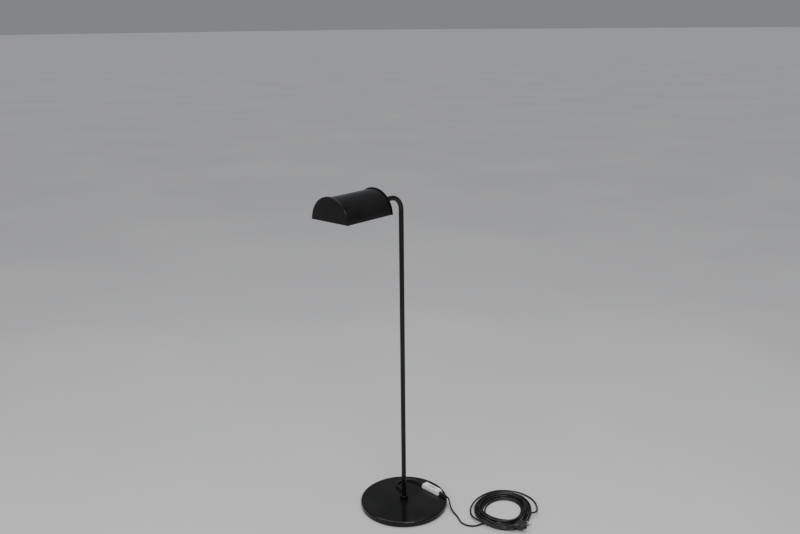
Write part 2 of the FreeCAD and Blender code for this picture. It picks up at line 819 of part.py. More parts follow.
def make_holder_contacts():
    turned("contact_block", [
        ("-dim.contact_start", "0"), ("-dim.contact_start", "dim.holder_inner - 0.1"),
        ("-dim.contact_end", "dim.holder_inner - 0.1"), ("-dim.contact_end", "3"),
        ("-dim.contact_end - 0.6", "3"), ("-dim.contact_end - 0.6", "0"),
    ], "H_Axis", z="dim.arm_height")
    ring_on_arm("screw_shell", "dim.contact_end", "(dim.cap_end - 2)",
                "dim.cap_radius + 0.2", "dim.holder_radius - dim.holder_wall - dim.fit_gap")


def make_bulb():
    turned("bulb_cap", [
        ("-dim.contact_end - 0.7", "0"), ("-dim.contact_end - 0.7", "4"),
        ("-dim.contact_end - 2.5", "6.5"), ("-dim.contact_end - 3.5", "12"),
        ("-dim.contact_end - 5", "dim.cap_radius"), ("-dim.cap_end", "dim.cap_radius"),
        ("-dim.cap_end", "dim.glass_neck + 0.1"), ("-dim.contact_end - 5.5", "dim.glass_neck + 0.1"),
        ("-dim.contact_end - 5.5", "0"),
    ], "H_Axis", z="dim.arm_height")
    turned("bulb_glass", [
        ("-dim.cap_end + 10", "dim.glass_neck - 0.9"), ("-dim.cap_end + 10", "dim.glass_neck"),
        ("-dim.cap_end - 1", "dim.glass_neck"), ("-dim.cap_end - 8", "dim.bulb_radius"),
        ("-dim.bulb_end + 10", "dim.bulb_radius"), ("-dim.bulb_end + 3.5", "dim.bulb_radius - 3.2"),
        ("-dim.bulb_end + 0.6", "dim.bulb_radius - 8"), ("-dim.bulb_end", "0"),
        ("-dim.bulb_end + dim.glass_thick", "0"),
        ("-dim.bulb_end + 1.5", "dim.bulb_radius - 8.4"),
        ("-dim.bulb_end + 4.2", "dim.bulb_radius - 4"),
        ("-dim.bulb_end + 10", "dim.bulb_radius - dim.glass_thick"),
        ("-dim.cap_end - 8", "dim.bulb_radius - dim.glass_thick"),
        ("-dim.cap_end - 1", "dim.glass_neck - 0.9"),
    ], "H_Axis", z="dim.arm_height")


def make_filament():
    """Glass stem with two support wires and the filament between them."""
    away = Vector(-1, 0, 0)
    stem = cylinder("dim.stem_glass_radius", "22", "-dim.cap_end + 12", "0", "dim.arm_height", away)
    pieces = [stem]
    for side in (-1, 1):
        pieces.append(cylinder("dim.support_radius", "32", "-dim.cap_end - 8",
                               f"{side} * dim.support_out", "dim.arm_height", away))
    filament = cylinder("dim.filament_radius", "dim.filament_length", "-dim.cap_end - 38",
                        "-dim.filament_length / 2", "dim.arm_height", Vector(0, 1, 0))
    register(fuse("bulb_filament", pieces + [filament]), "bulb_filament")


# --- in-line dimmer ---------------------------------------------------------------------------

def place_on_dimmer(part, height="0"):
    place(part, "dim.dimmer_x", "dim.dimmer_y", f"dim.base_top + {height}", "dim.dimmer_turn")


def centred_rectangle(sketch, width, length):
    add_rectangle(sketch, f"-{width} / 2", f"{width} / 2", f"-{length} / 2", f"{length} / 2")


def dimmer_rectangle(sketch, inset="0"):
    half_width = f"(dim.dimmer_width / 2 - {inset})"
    half_length = f"(dim.dimmer_length / 2 - {inset})"
    add_rectangle(sketch, f"-{half_width}", half_width, f"-{half_length}", half_length)


def is_upright(edge):
    low, high = sorted(vertex.Z for vertex in edge.Vertexes) if len(edge.Vertexes) == 2 else (0, 0)
    return high - low > 3


def cut_cord_ways(body, height):
    """The round openings at both ends, in which the boots sit."""
    way = new_sketch(body, "XZ_Plane")
    add_circle(way, "0", height, "dim.cord_way")
    pocket(body, way, "dim.dimmer_length + 2", both_ways=True)


def make_dimmer_base():
    body = new_body("dimmer_base")
    floor = new_sketch(body, "XY_Plane")
    dimmer_rectangle(floor)
    pad(body, floor, "dim.dimmer_split")
    soften(body, "dim.dimmer_corner", is_upright)
    hollow = new_sketch(body, "XY_Plane", "dim.dimmer_split")
    dimmer_rectangle(hollow, "dim.dimmer_wall")
    pocket(body, hollow, "dim.dimmer_split - dim.dimmer_wall")
    cut_cord_ways(body, "dim.boot_height")
    place_on_dimmer(body)


def make_dimmer_cover():
    body = new_body("dimmer_cover")
    shell = new_sketch(body, "XY_Plane")
    dimmer_rectangle(shell)
    rise = "(dim.dimmer_height - dim.dimmer_split)"
    pad(body, shell, rise, taper="dim.dimmer_taper")
    soften(body, "dim.dimmer_corner", is_upright)
    top = size(rise)
    soften(body, "dim.dimmer_edge", lambda edge: all(abs(v.Z - top) < 0.01 for v in edge.Vertexes))
    hollow = new_sketch(body, "XY_Plane")
    half_width = "(dim.dimmer_width / 2 - dim.cover_wall)"
    half_length = "(dim.dimmer_length / 2 - dim.cover_wall)"
    add_rectangle(hollow, f"-{half_width}", half_width, f"-{half_length}", half_length)
    pocket(body, hollow, f"{rise} - dim.window_depth - dim.dimmer_wall", forward=True)
    window = new_sketch(body, "XY_Plane", rise)
    centred_rectangle(window, "dim.window_width", "dim.window_length")
    pocket(body, window, "dim.window_depth")
    slot = new_sketch(body, "XY_Plane", rise)
    centred_rectangle(slot, "dim.slot_width", "dim.slot_length")
    pocket(body, slot, "dim.dimmer_height")
    cut_cord_ways(body, "dim.boot_height - dim.dimmer_split")
    place_on_dimmer(body, "dim.dimmer_split")


def make_dimmer_slider():
    """Thumb piece above the window, stalk through the slot, foot under the cover."""
    body = new_body("dimmer_slider")
    thumb = new_sketch(body, "XY_Plane", "dim.dimmer_height - dim.window_depth + 0.3")
    centred_rectangle(thumb, "dim.thumb_width", "dim.thumb_length")
    pad(body, thumb, "dim.thumb_thick", taper="-12")
    stalk = new_sketch(body, "XY_Plane", "dim.dimmer_height - 5")
    centred_rectangle(stalk, "dim.stalk_width", "dim.stalk_length")
    pad(body, stalk, "5")
    foot = new_sketch(body, "XY_Plane", "dim.dimmer_height - 5.4")
    centred_rectangle(foot, "dim.foot_width", "dim.thumb_length")
    pad(body, foot, "1.8")
    place_on_dimmer(body)


def make_dimmer_board():
    """Circuit board with its choke, capacitor and slide resistor, low inside the case."""
    board = new_body("dimmer_board")
    plate = new_sketch(board, "XY_Plane", "dim.board_under")
    centred_rectangle(plate, "dim.board_width", "dim.board_length")
    pad(board, plate, "dim.board_thick")
    parts_seat = "dim.board_under + dim.board_thick - 0.5"
    tall = new_sketch(board, "XY_Plane", parts_seat)
    add_circle(tall, "0", "-20.5", "4.5")
    add_rectangle(tall, "-6.5", "6.5", "16", "24")
    pad(board, tall, "5")
    low = new_sketch(board, "XY_Plane", parts_seat)
    add_rectangle(low, "-4.5", "4.5", "-15", "14")
    pad(board, low, "4")
    place_on_dimmer(board)


def make_dimmer_boots():
    """Tapered strain reliefs at the dimmer's two ends, with a collar inside the case."""
    half = "dim.dimmer_length / 2"
    lip = f"{half} - dim.boot_inside + 2.4"
    for label, turn in (("boot_in", "0"), ("boot_out", "180")):
        body = new_body(label)
        profile = new_sketch(body, "YZ_Plane")
        add_outline(profile, [
            (f"{half} - dim.boot_inside", "0"), (f"{half} - dim.boot_inside", "dim.boot_collar"),
            (lip, "dim.boot_collar"), (lip, "dim.boot_neck"),
            (half, "dim.boot_neck"), (half, "dim.boot_wide"), (f"{half} + 2", "dim.boot_wide"),
            (f"{half} + dim.boot_length", "dim.boot_narrow"), (f"{half} + dim.boot_length", "0"),
        ])
        revolve(body, profile, "H_Axis")
        place(body, "dim.dimmer_x", "dim.dimmer_y", "dim.base_top + dim.boot_height",
              f"dim.dimmer_turn + {turn}")


# --- cords ------------------------------------------------------------------------------------

def rounded_path(route, name):
    """Straight runs joined by tangent arcs, each as large as its two runs allow."""
    points = [Vector(*point) for point in route]
    edges = []
    start = points[0]
    radii = []
    for before, corner, after in zip(points, points[1:], points[2:]):
        arriving = corner - before
        leaving = after - corner
        turn = arriving.getAngle(leaving)
        reach = 0.45 * min(arriving.Length, leaving.Length)
        radius = reach / math.tan(turn / 2)
        radii.append(round(radius, 1))
        arriving.normalize()
        leaving.normalize()
        enter = corner - arriving * reach
        leave = corner + leaving * reach
        inward = (leaving - arriving).normalize()
        middle = corner + inward * (radius / math.cos(turn / 2) - radius)
        edges.append(Part.LineSegment(start, enter).toShape())
        edges.append(Part.Arc(enter, middle, leave).toShape())
        start = leave
    edges.append(Part.LineSegment(start, points[-1]).toShape())
    path = Part.Wire(edges)
    print(f"{name}: length {path.Length:.1f}, bend radii {radii}")
    return path


def sweep_tube(path, radius):
    """A round solid along a path, its volume compared with its section times its length."""
    first = path.OrderedEdges[0]
    start = first.valueAt(first.FirstParameter)
    section = Part.Wire([Part.Circle(start, first.tangentAt(first.FirstParameter), radius).toShape()])
    tube = path.makePipeShell([section], True, True)
    expected = math.pi * radius ** 2 * path.Length
    if not tube.isValid() or abs(tube.Volume / expected - 1) > 0.01:
        raise RuntimeError("a swept tube has the wrong volume")
    return tube


def make_cord(label, route, radius):
    tube = doc.addObject("Part::Feature", label)
    tube.Shape = sweep_tube(rounded_path(route, label), size(radius))
    tube.Placement = FreeCAD.Placement()
    return register(tube, label)


def make_stem_cable():
    """The cable inside the stem and arm, from the swivel stud to the lamp holder."""
    foot = size("dim.flange_under") + 5
    top = size("dim.arm_height")
    bend = size("dim.bend_radius")
    end = -size("dim.nipple_end") - 4
    high = Vector(0, 0, top - bend)
    middle = Vector(-bend + bend * math.sqrt(0.5), 0, top - bend + bend * math.sqrt(0.5))
    level = Vector(-bend, 0, top)
    path = Part.Wire([
        Part.LineSegment(Vector(0, 0, foot), high).toShape(),
        Part.Arc(high, middle, level).toShape(),
        Part.LineSegment(level, Vector(end, 0, top)).toShape(),
    ])
    tube = doc.addObject("Part::Feature", "stem_cable")
    tube.Shape = sweep_tube(path, size("dim.inner_cord_radius"))
    register(tube, "stem_cable")


def base_cable_path():
    """Down out of the stud, along the recess under the clamp, up and out through the gland."""
    out = gland_direction()
    gland = Vector(size("dim.gland_x"), size("dim.gland_y"), 0)
    angle = math.radians(size("dim.gland_turn"))
    heading = Vector(math.cos(angle), math.sin(angle), 0)
    up = Vector(0, 0, 1)
    low = size("dim.flange_under") - 3.1
    bend = 8
    high = size("dim.gland_axis")
    half = math.sqrt(0.5)
    mouth = up * (low + bend)
    first_centre = mouth + out * bend
    first_end = first_centre - up * bend
    second_centre = gland - out * bend + up * (low + bend)
    second_start = second_centre - up * bend
    riser_start = second_centre + out * bend
    third_centre = gland + heading * bend + up * (high - bend)
    riser_end = third_centre - heading * bend
    third_end = third_centre + up * bend
    tip = gland + heading * size("dim.gland_reach") + up * high
    return Part.Wire([
        Part.Arc(mouth, first_centre - (out + up) * half * bend, first_end).toShape(),
        Part.LineSegment(first_end, second_start).toShape(),
        Part.Arc(second_start, second_centre + (out - up) * half * bend, riser_start).toShape(),
        Part.LineSegment(riser_start, riser_end).toShape(),
        Part.Arc(riser_end, third_centre + (up - heading) * half * bend, third_end).toShape(),
        Part.LineSegment(third_end, tip).toShape(),
    ])


def make_base_cable_and_gland():
    path = base_cable_path()
    cable = doc.addObject("Part::Feature", "base_cable")
    cable.Shape = sweep_tube(path, size("dim.cord_radius"))
    register(cable, "base_cable")
    heading = FreeCAD.Rotation(Vector(0, 0, 1), size("dim.gland_turn")).multVec(Vector(1, 0, 0))
    gx, gy = "dim.gland_x", "dim.gland_y"
    flange = cylinder("dim.gland_flange", "dim.gland_flange_thick", gx, gy,
                      "dim.web_under - dim.gland_flange_thick")
    throat = cylinder("dim.gland_throat", "dim.gland_axis - dim.web_under", gx, gy, "dim.web_under")
    dome = cylinder("dim.gland_dome", "3", gx, gy, "dim.base_top")
    knee = doc.addObject("Part::Sphere", "knee")
    knee.setExpression("Radius", "dim.gland_knee")
    for axis, expression in (("x", gx), ("y", gy), ("z", "dim.gland_axis - 1")):
        knee.setExpression(f"Placement.Base.{axis}", expression)
    relief = doc.addObject("Part::Cone", "relief")
    relief.setExpression("Radius1", "dim.gland_wide")
    relief.setExpression("Radius2", "dim.gland_narrow")
    relief.setExpression("Height", "dim.gland_reach")
    relief.Placement.Rotation = FreeCAD.Rotation(Vector(0, 0, 1), heading)
    for axis, expression in (("x", gx), ("y", gy), ("z", "dim.gland_axis")):
        relief.setExpression(f"Placement.Base.{axis}", expression)
    blank = fuse("gland_blank", [flange, throat, dome, knee, relief])
    way = doc.addObject("Part::Feature", "gland_way")
    way.Shape = sweep_tube(path, size("dim.cord_radius") + 0.02)
    gland = doc.addObject("Part::Cut", "cord_gland")
    gland.Base = blank
    gland.Tool = way
    register(gland, "cord_gland")


def make_coil():
    """The outer shape of the loosely coiled lead, with a bay on its shoulder for the plug."""
    ring = doc.addObject("PartDesign::Body", "coil_ring")
    profile = new_sketch(ring, "XZ_Plane")
    add_outline(profile, [
        ("dim.coil_inner", "0"), ("dim.coil_outer", "0"), ("dim.coil_outer", "dim.coil_side"),
        ("dim.coil_outer - 16", "dim.coil_top - 2"), ("dim.coil_outer - 24", "dim.coil_top"),
        ("dim.coil_inner + 14", "dim.coil_top"), ("dim.coil_inner", "14"),
    ])
    revolve(ring, profile)
    place(ring, "dim.coil_x", "dim.coil_y", "0")
    bay = doc.addObject("Part::Box", "plug_bay")
    behind = "(dim.plug_length / 2 + dim.boot_length)"
    bay.setExpression("Length", f"{behind} + dim.plug_length / 2 + dim.pin_length + 6")
    bay.setExpression("Width", "dim.plug_width + 40")
    bay.Height = 30
    turn = FreeCAD.Rotation(Vector(0, 0, 1), size("dim.plug_turn"))
    corner = turn.multVec(Vector(-size(behind), -size("dim.plug_width") / 2 - 39.5, 0))
    centre = Vector(size("dim.plug_x"), size("dim.plug_y"), size("dim.plug_under") - 0.3)
    bay.Placement = FreeCAD.Placement(centre + corner, turn)
    coil = doc.addObject("Part::Cut", "lead_coil")
    coil.Base = ring
    coil.Tool = bay
    register(coil, "lead_coil")


# --- plug -------------------------------------------------------------------------------------

def place_on_plug(part, height="0"):
    place(part, "dim.plug_x", "dim.plug_y", f"dim.plug_under + {height}", "dim.plug_turn")


def make_plug_body():
    """Slim two-pin plug body, pin face towards local +X."""
    body = new_body("plug_body")
    half = "dim.plug_length / 2"
    wide = "dim.plug_width / 2"
    outline = new_sketch(body, "XY_Plane")
    add_outline(outline, [
        (half, f"-{wide}"), (half, wide), (f"{half} - dim.plug_straight", wide),
        (f"-{half} + 6", "dim.plug_shoulder"), (f"-{half}", "dim.plug_neck"),
        (f"-{half}", "-dim.plug_neck"), (f"-{half} + 6", "-dim.plug_shoulder"),
        (f"{half} - dim.plug_straight", f"-{wide}"),
    ])
    pad(body, outline, "dim.plug_thick")
    soften(body, "dim.plug_edge", lambda edge: edge.Length > 3 and not is_upright(edge)
           and min(v.X for v in edge.Vertexes) < size(half) - 0.1)
    sockets = new_sketch(body, "YZ_Plane", half)
    middle = "dim.plug_thick / 2"
    for side in (-1, 1):
        add_circle(sockets, f"{side} * dim.pin_spacing / 2", middle, "dim.pin_radius + 0.02")
    pocket(body, sockets, "dim.pin_root + 1")
    entry = new_sketch(body, "YZ_Plane", f"-{half}")
    add_circle(entry, "0", middle, "dim.plug_entry")
    pocket(body, entry, "dim.boot_inside + 1", forward=True)
    place_on_plug(body)


def make_plug_pins():
    turn = FreeCAD.Rotation(Vector(0, 0, 1), size("dim.plug_turn"))
    along = turn.multVec(Vector(1, 0, 0))
    pins = []
    for side in (-1, 1):
        offset = turn.multVec(Vector(size("dim.plug_length / 2 - dim.pin_root"),
                                     side * size("dim.pin_spacing") / 2, 0))
        x = f"dim.plug_x + {round(offset.x, 4)}"
        y = f"dim.plug_y + {round(offset.y, 4)}"
        z = "dim.plug_under + dim.plug_thick / 2"
        pins.append(cylinder("dim.pin_radius", "dim.pin_length + dim.pin_root", x, y, z, along))
    group("plug_pins", pins)


def make_plug_boot():
    half = "dim.plug_length / 2"
    body = new_body("plug_boot")
    profile = new_sketch(body, "XZ_Plane")
    add_outline(profile, [
        (f"-{half} - dim.boot_length", "0"), (f"-{half} - dim.boot_length", "dim.boot_narrow"),
        (f"-{half}", "dim.plug_boot_wide"), (f"-{half}", "dim.plug_boot_collar"),
        (f"-{half} + dim.boot_inside", "dim.plug_boot_collar"), (f"-{half} + dim.boot_inside", "0"),
    ])
    revolve(body, profile, "H_Axis")
    place_on_plug(body, "dim.plug_thick / 2")


# --- build, check and write -------------------------------------------------------------------

def build():
    fill_sheet()
    make_base_plate()
    make_felt_pad()
    make_pivot_stud()
    make_stud_screws()
    make_foot_washer()
    make_cord_clamp()
    make_base_cable_and_gland()
    make_stem_tube()
    make_foot_collar()
    make_collar_screw()
    make_stem_cable()
    make_arm_nipple()
    make_pivot_stack()
    make_pivot_nut()
    make_front_plate()
    make_rear_plate()
    make_barrel()
    make_reflector()
    make_tie_rods()
    make_lamp_holder()
    make_holder_contacts()
    make_bulb()
    make_filament()
    make_dimmer_base()
    make_dimmer_cover()
    make_dimmer_slider()
    make_dimmer_board()
    make_dimmer_boots()
    make_cord("feed_cord", FEED_ROUTE, "dim.cord_radius")
    make_cord("lead_cord", LEAD_ROUTE, "dim.cord_radius")
    make_coil()
    make_plug_body()
    make_plug_pins()
    make_plug_boot()
    doc.recompute()


def check():
    for item in doc.Objects:
        if "Invalid" in item.State or "Error" in item.State:
            raise RuntimeError(f"{item.Label} failed: {item.State}")
    for part in sub_parts:
        if part.Shape.isNull() or not part.Shape.isValid() or not part.Shape.Solids:
            raise RuntimeError(f"{part.Label} has no valid solid")


def write():
    os.makedirs("parts", exist_ok=True)
    for part in sub_parts:
        part.Shape.exportStep(os.path.join("parts", part.Label + ".step"))
        print(f"{part.Label}: {len(part.Shape.Solids)} solid(s), {part.Shape.Volume / 1000:.2f} cm3")


build()
check()
write()
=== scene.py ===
import json
import math

import bmesh
import bpy
from mathutils import Matrix, Vector


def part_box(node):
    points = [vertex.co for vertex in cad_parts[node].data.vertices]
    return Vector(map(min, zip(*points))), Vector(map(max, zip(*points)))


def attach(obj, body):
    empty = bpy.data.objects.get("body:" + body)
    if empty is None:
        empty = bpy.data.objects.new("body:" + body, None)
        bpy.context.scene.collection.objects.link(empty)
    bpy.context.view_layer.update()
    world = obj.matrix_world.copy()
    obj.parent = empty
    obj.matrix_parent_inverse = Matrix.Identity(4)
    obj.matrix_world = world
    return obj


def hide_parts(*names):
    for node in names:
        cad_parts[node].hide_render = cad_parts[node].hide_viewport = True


# Floor reading lamp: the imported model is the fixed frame, and this script gives it its looks.
# Everything is in metres in the frame: +Z up, stem on the Z axis, arm along -X.

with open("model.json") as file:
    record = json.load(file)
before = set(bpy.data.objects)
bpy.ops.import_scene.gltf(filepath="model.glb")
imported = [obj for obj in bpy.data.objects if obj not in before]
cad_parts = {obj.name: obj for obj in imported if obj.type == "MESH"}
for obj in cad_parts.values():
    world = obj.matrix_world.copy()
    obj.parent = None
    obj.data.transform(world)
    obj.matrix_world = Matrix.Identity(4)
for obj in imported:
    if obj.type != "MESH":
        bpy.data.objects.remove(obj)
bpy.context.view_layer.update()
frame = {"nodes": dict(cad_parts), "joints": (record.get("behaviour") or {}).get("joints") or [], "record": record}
record = frame["record"]
nodes = frame["nodes"]
MM = 0.001

# --- camera -----------------------------------------------------------------------------------

CAMERA_PLACE = Vector((-1.8003, -1.5880, 1.4971))
CAMERA_AZIMUTH = math.radians(-48.462)
CAMERA_PITCH = math.radians(16.153)
CAMERA_ROLL = math.radians(-0.612)
FOCAL_PIXELS = 833.9
IMAGE_WIDTH = 800
SENSOR_WIDTH = 36.0


def make_camera():
    right = Vector((math.cos(CAMERA_AZIMUTH), math.sin(CAMERA_AZIMUTH), 0))
    back = Vector((math.sin(CAMERA_AZIMUTH), -math.cos(CAMERA_AZIMUTH), 0))
    forward = -back * math.cos(CAMERA_PITCH) - Vector((0, 0, math.sin(CAMERA_PITCH)))
    up = right.cross(forward)
    rolled_right = right * math.cos(CAMERA_ROLL) + up * math.sin(CAMERA_ROLL)
    rolled_up = up * math.cos(CAMERA_ROLL) - right * math.sin(CAMERA_ROLL)
    data = bpy.data.cameras.new("camera")
    data.sensor_width = SENSOR_WIDTH
    data.lens = FOCAL_PIXELS * SENSOR_WIDTH / IMAGE_WIDTH
    camera = bpy.data.objects.new("camera", data)
    bpy.context.scene.collection.objects.link(camera)
    turned = Matrix((rolled_right, rolled_up, -forward)).transposed().to_4x4()
    camera.matrix_world = Matrix.Translation(CAMERA_PLACE) @ turned
    bpy.context.scene.camera = camera


# --- cords ------------------------------------------------------------------------------------

CORD_HALF = 2.8
CORD_RADIUS = CORD_HALF * MM
# How close two cords' centres may come, and how high one lies on the floor.
CORD_GAP = 5.9 * MM
FLOOR_HEIGHT = 3.0 * MM

# The free cord's route from the gland to the dimmer, and from the dimmer to the coil, in mm.
FEED_ROUTE = [
    (28.74, 35.42, 24.0),
    (30.5, 55.4, 23.8),
    (43.4, 71.9, 21.6),
    (64.5, 78.3, 20.6),
    (87.2, 70.5, 20.8),
    (101.8, 44.8, 23.6),
    (99.37, 16.33, 24.5),
]
LEAD_ROUTE = [
    (90.63, -95.33, 24.5),
    (87.5, -112.0, 25.8),
    (76.0, -127.0, 25.0),
    (64.5, -140.0, 17.0),
    (57.5, -154.5, 7.0),
    (52.0, -172.0, 3.2),
    (42.5, -190.0, 3.1),
    (29.5, -207.5, 3.1),
    (26.0, -226.5, 3.1),
    (31.0, -245.0, 3.1),
    (43.5, -258.5, 3.1),
    (61.0, -265.0, 3.1),
]
# From the end of that route under the bundle to its inner side, in mm.
UNDER_BUNDLE = [
    (80.0, -271.0, 3.1),
    (98.0, -279.5, 3.1),
    (111.5, -293.0, 3.1),
]
# The plug's angle in degrees. In mm: half its body's length, the strain relief behind it, and how
# far the middle of the pins lies ahead of the body's.
PLUG_TURN = -33
PLUG_HALF = 18
BOOT_LENGTH = 20
PINS_AHEAD = 23
# How far past the mouth of that strain relief the lead's last points lie.
PLUG_APPROACH = (-15, -6, 0, 2)
COIL_CENTRE = (175.0, -278.0)
POINTS_PER_TURN = 32
# Each turn of the coil: its mean radius in mm, how far it is pushed aside, towards which angle, and
# how far it bulges where the plug lies on it.
COIL_TURNS = [
    (58.0, 6.0, 150, 0),
    (64.5, 6.0, 138, 0),
    (71.0, 8.0, 124, 0),
    (77.5, 8.0, 130, 3),
    (84.0, 9.0, 118, 10),
    (91.0, 9.0, 115, 16),
    (94.0, 8.0, 148, 14),
    (85.0, 8.0, 126, 23),
    (77.0, 7.0, 108, 4),
    (70.0, 8.0, 146, 2),
    (81.0, 8.0, 122, 0),
]
# The angle at which each turn starts, and how far the last one goes, in degrees.
COIL_START = 204
LAST_SWEEP = 80
# The whole bundle is a little oval: by how many mm, and along which angle.
OVAL = 5
OVAL_ANGLE = 15
# The angle of the plug seen from the coil's centre, and the bulge's half width in degrees.
BULGE_ANGLE = 236
BULGE_WIDTH = 30
# A cord rests on what was laid before it, but not on this many of its own last stretches.
OWN_STRETCHES = 8
# The loose outer turn that ends in the plug: angle in degrees and radius in mm.
OUTER_TURN = [
    (292, 98.5),
    (306, 100.5),
    (320, 104.0),
    (333, 109.0),
    (346, 113.5),
    (360, 115.5),
    (374, 113.0),
    (390, 107.5),
    (407, 101.5),
    (424, 98.0),
    (442, 97.5),
    (460, 100.5),
    (476, 106.5),
    (490, 112.5),
    (505, 116.5),
    (520, 117.5),
    (535, 116.5),
    (549, 115.5),
    (562, 116.0),
]


def plan_point(angle, radius):
    """A point of the coil from its angle in degrees and radius in mm, in metres in the frame."""
    turn = math.radians(angle)
    x = COIL_CENTRE[0] + radius * math.cos(turn)
    y = COIL_CENTRE[1] + radius * math.sin(turn)
    return Vector((x * MM, y * MM, 0))


def turn_radius(index, angle):
    """A turn's radius in mm at an angle in degrees."""
    mean, aside, towards, bulge = COIL_TURNS[index]
    from_bulge = (angle - BULGE_ANGLE + 180) % 360 - 180
    return (mean + aside * math.cos(math.radians(angle - towards))
            + OVAL * math.cos(math.radians(2 * (angle - OVAL_ANGLE)))
            + bulge * math.exp(-(from_bulge / BULGE_WIDTH) ** 2))


def coil_plan():
    """The coil seen from above, turn by turn, each turn passing smoothly into the next."""
    plan = []
    for index in range(len(COIL_TURNS) - 1):
        for step in range(POINTS_PER_TURN):
            share = step / POINTS_PER_TURN
            angle = COIL_START + 360 * share
            radius = (turn_radius(index, angle) * (1 - share)
                      + turn_radius(index + 1, angle) * share)
            plan.append(plan_point(angle, radius))
    for step in range(round(LAST_SWEEP / 360 * POINTS_PER_TURN)):
        angle = COIL_START + 360 * step / POINTS_PER_TURN
        plan.append(plan_point(angle, turn_radius(len(COIL_TURNS) - 1, angle)))
    return plan + [plan_point(angle, radius) for angle, radius in OUTER_TURN]


def resting_height(point, laid):
    """The height at which a cord's centre rests here, on the floor or on the cord laid before."""
    height = FLOOR_HEIGHT
    for start, end in laid:
        run = Vector((end.x - start.x, end.y - start.y))
        to_point = Vector((point.x - start.x, point.y - start.y))
        share = max(0, min(1, to_point.dot(run) / run.length_squared))
        gap = (to_point - run * share).length
        if gap < CORD_GAP:
            under = start.z + (end.z - start.z) * share
            height = max(height, under + math.sqrt(CORD_GAP ** 2 - gap ** 2))
    return height


def lay_coil(route, plan):
    """Lay the coil's points one after another, each on what already lies beneath it."""
    laid = list(zip(route, route[1:]))
    points = [route[-1]]
    for index, point in enumerate(plan):
        before = plan[index - 1] if index else route[-1]
        after = plan[min(index + 1, len(plan) - 1)]
        settled = laid[:max(0, len(laid) - OWN_STRETCHES)]
        reach = [before.lerp(point, share) for share in (0.5, 0.75)]
        reach += [point] + [point.lerp(after, share) for share in (0.25, 0.5)]
        height = max(resting_height(place, settled) for place in reach)
        placed = Vector((point.x, point.y, height))
        laid.append((points[-1], placed))
        points.append(placed)
    return points[1:]


def ease_heights(points, passes=4):
    """Lift the points beside each step, so that the cord slopes over what it crosses."""
    for _ in range(passes):
        heights = [point.z for point in points]
        for index in range(1, len(points) - 1):
            between = (heights[index - 1] + heights[index + 1]) / 2
            points[index].z = max(heights[index], between)


def rise_to(points, height, count=5):
    """Lift the last points evenly from where they rest to the height of the plug."""
    for step, point in enumerate(points[-count:], start=1):
        point.z += max(0, height - point.z) * smooth(step / (count + 1))


def metres(route):
    return [Vector(point) * MM for point in route]


def smooth(share):
    """From 0 to 1 with a level start and end."""
    return share * share * (3 - 2 * share)


def make_cord(name, points):
    """A round cord along one smooth curve."""
    curve = bpy.data.curves.new(name, "CURVE")
    curve.dimensions = "3D"
    curve.bevel_depth = 1
    curve.bevel_resolution = 5
    curve.resolution_u = 6
    spline = curve.splines.new("NURBS")
    spline.points.add(len(points) - 1)
    for target, point in zip(spline.points, points):
        target.co = (*point, 1)
        target.radius = CORD_RADIUS
    spline.order_u = 3
    spline.use_endpoint_u = True
    cord = bpy.data.objects.new(name, curve)
    bpy.context.scene.collection.objects.link(cord)
    return cord


def plug_heading():
    turn = math.radians(PLUG_TURN)
    return Vector((math.cos(turn), math.sin(turn), 0))


def plug_place():
    """From the plug's own frame, pins towards local X, to the lamp's."""
    low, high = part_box("plug_pins")
    middle = (low + high) / 2 - plug_heading() * PINS_AHEAD * MM
    return Matrix.Translation(middle) @ Matrix.Rotation(math.radians(PLUG_TURN), 4, "Z")


def make_cords():
    feed = make_cord("feed_flex", metres(FEED_ROUTE))
    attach(feed, "root")
    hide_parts("feed_cord")

    route = metres(LEAD_ROUTE + UNDER_BUNDLE)
    coil = lay_coil(route, coil_plan())
    ease_heights(coil[-len(OUTER_TURN) - 2:])
    rise_to(coil, plug_place().translation.z)
    into_plug = plug_heading()
    mouth = plug_place().translation - into_plug * (PLUG_HALF + BOOT_LENGTH) * MM
    whole = route + coil + [mouth + into_plug * ahead * MM for ahead in PLUG_APPROACH]
    lead = make_cord("mains_lead", whole)
    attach(lead, "root")
    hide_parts("lead_cord", "lead_coil")
    for cord in (feed, lead):
        cord.data.materials.append(MATERIALS["cord_pvc"])


# --- materials --------------------------------------------------------------------------------

# The colour sockets of a mix node, which has several sockets of the same name.
COLOUR_A = 6
COLOUR_B = 7
COLOUR_RESULT = 2


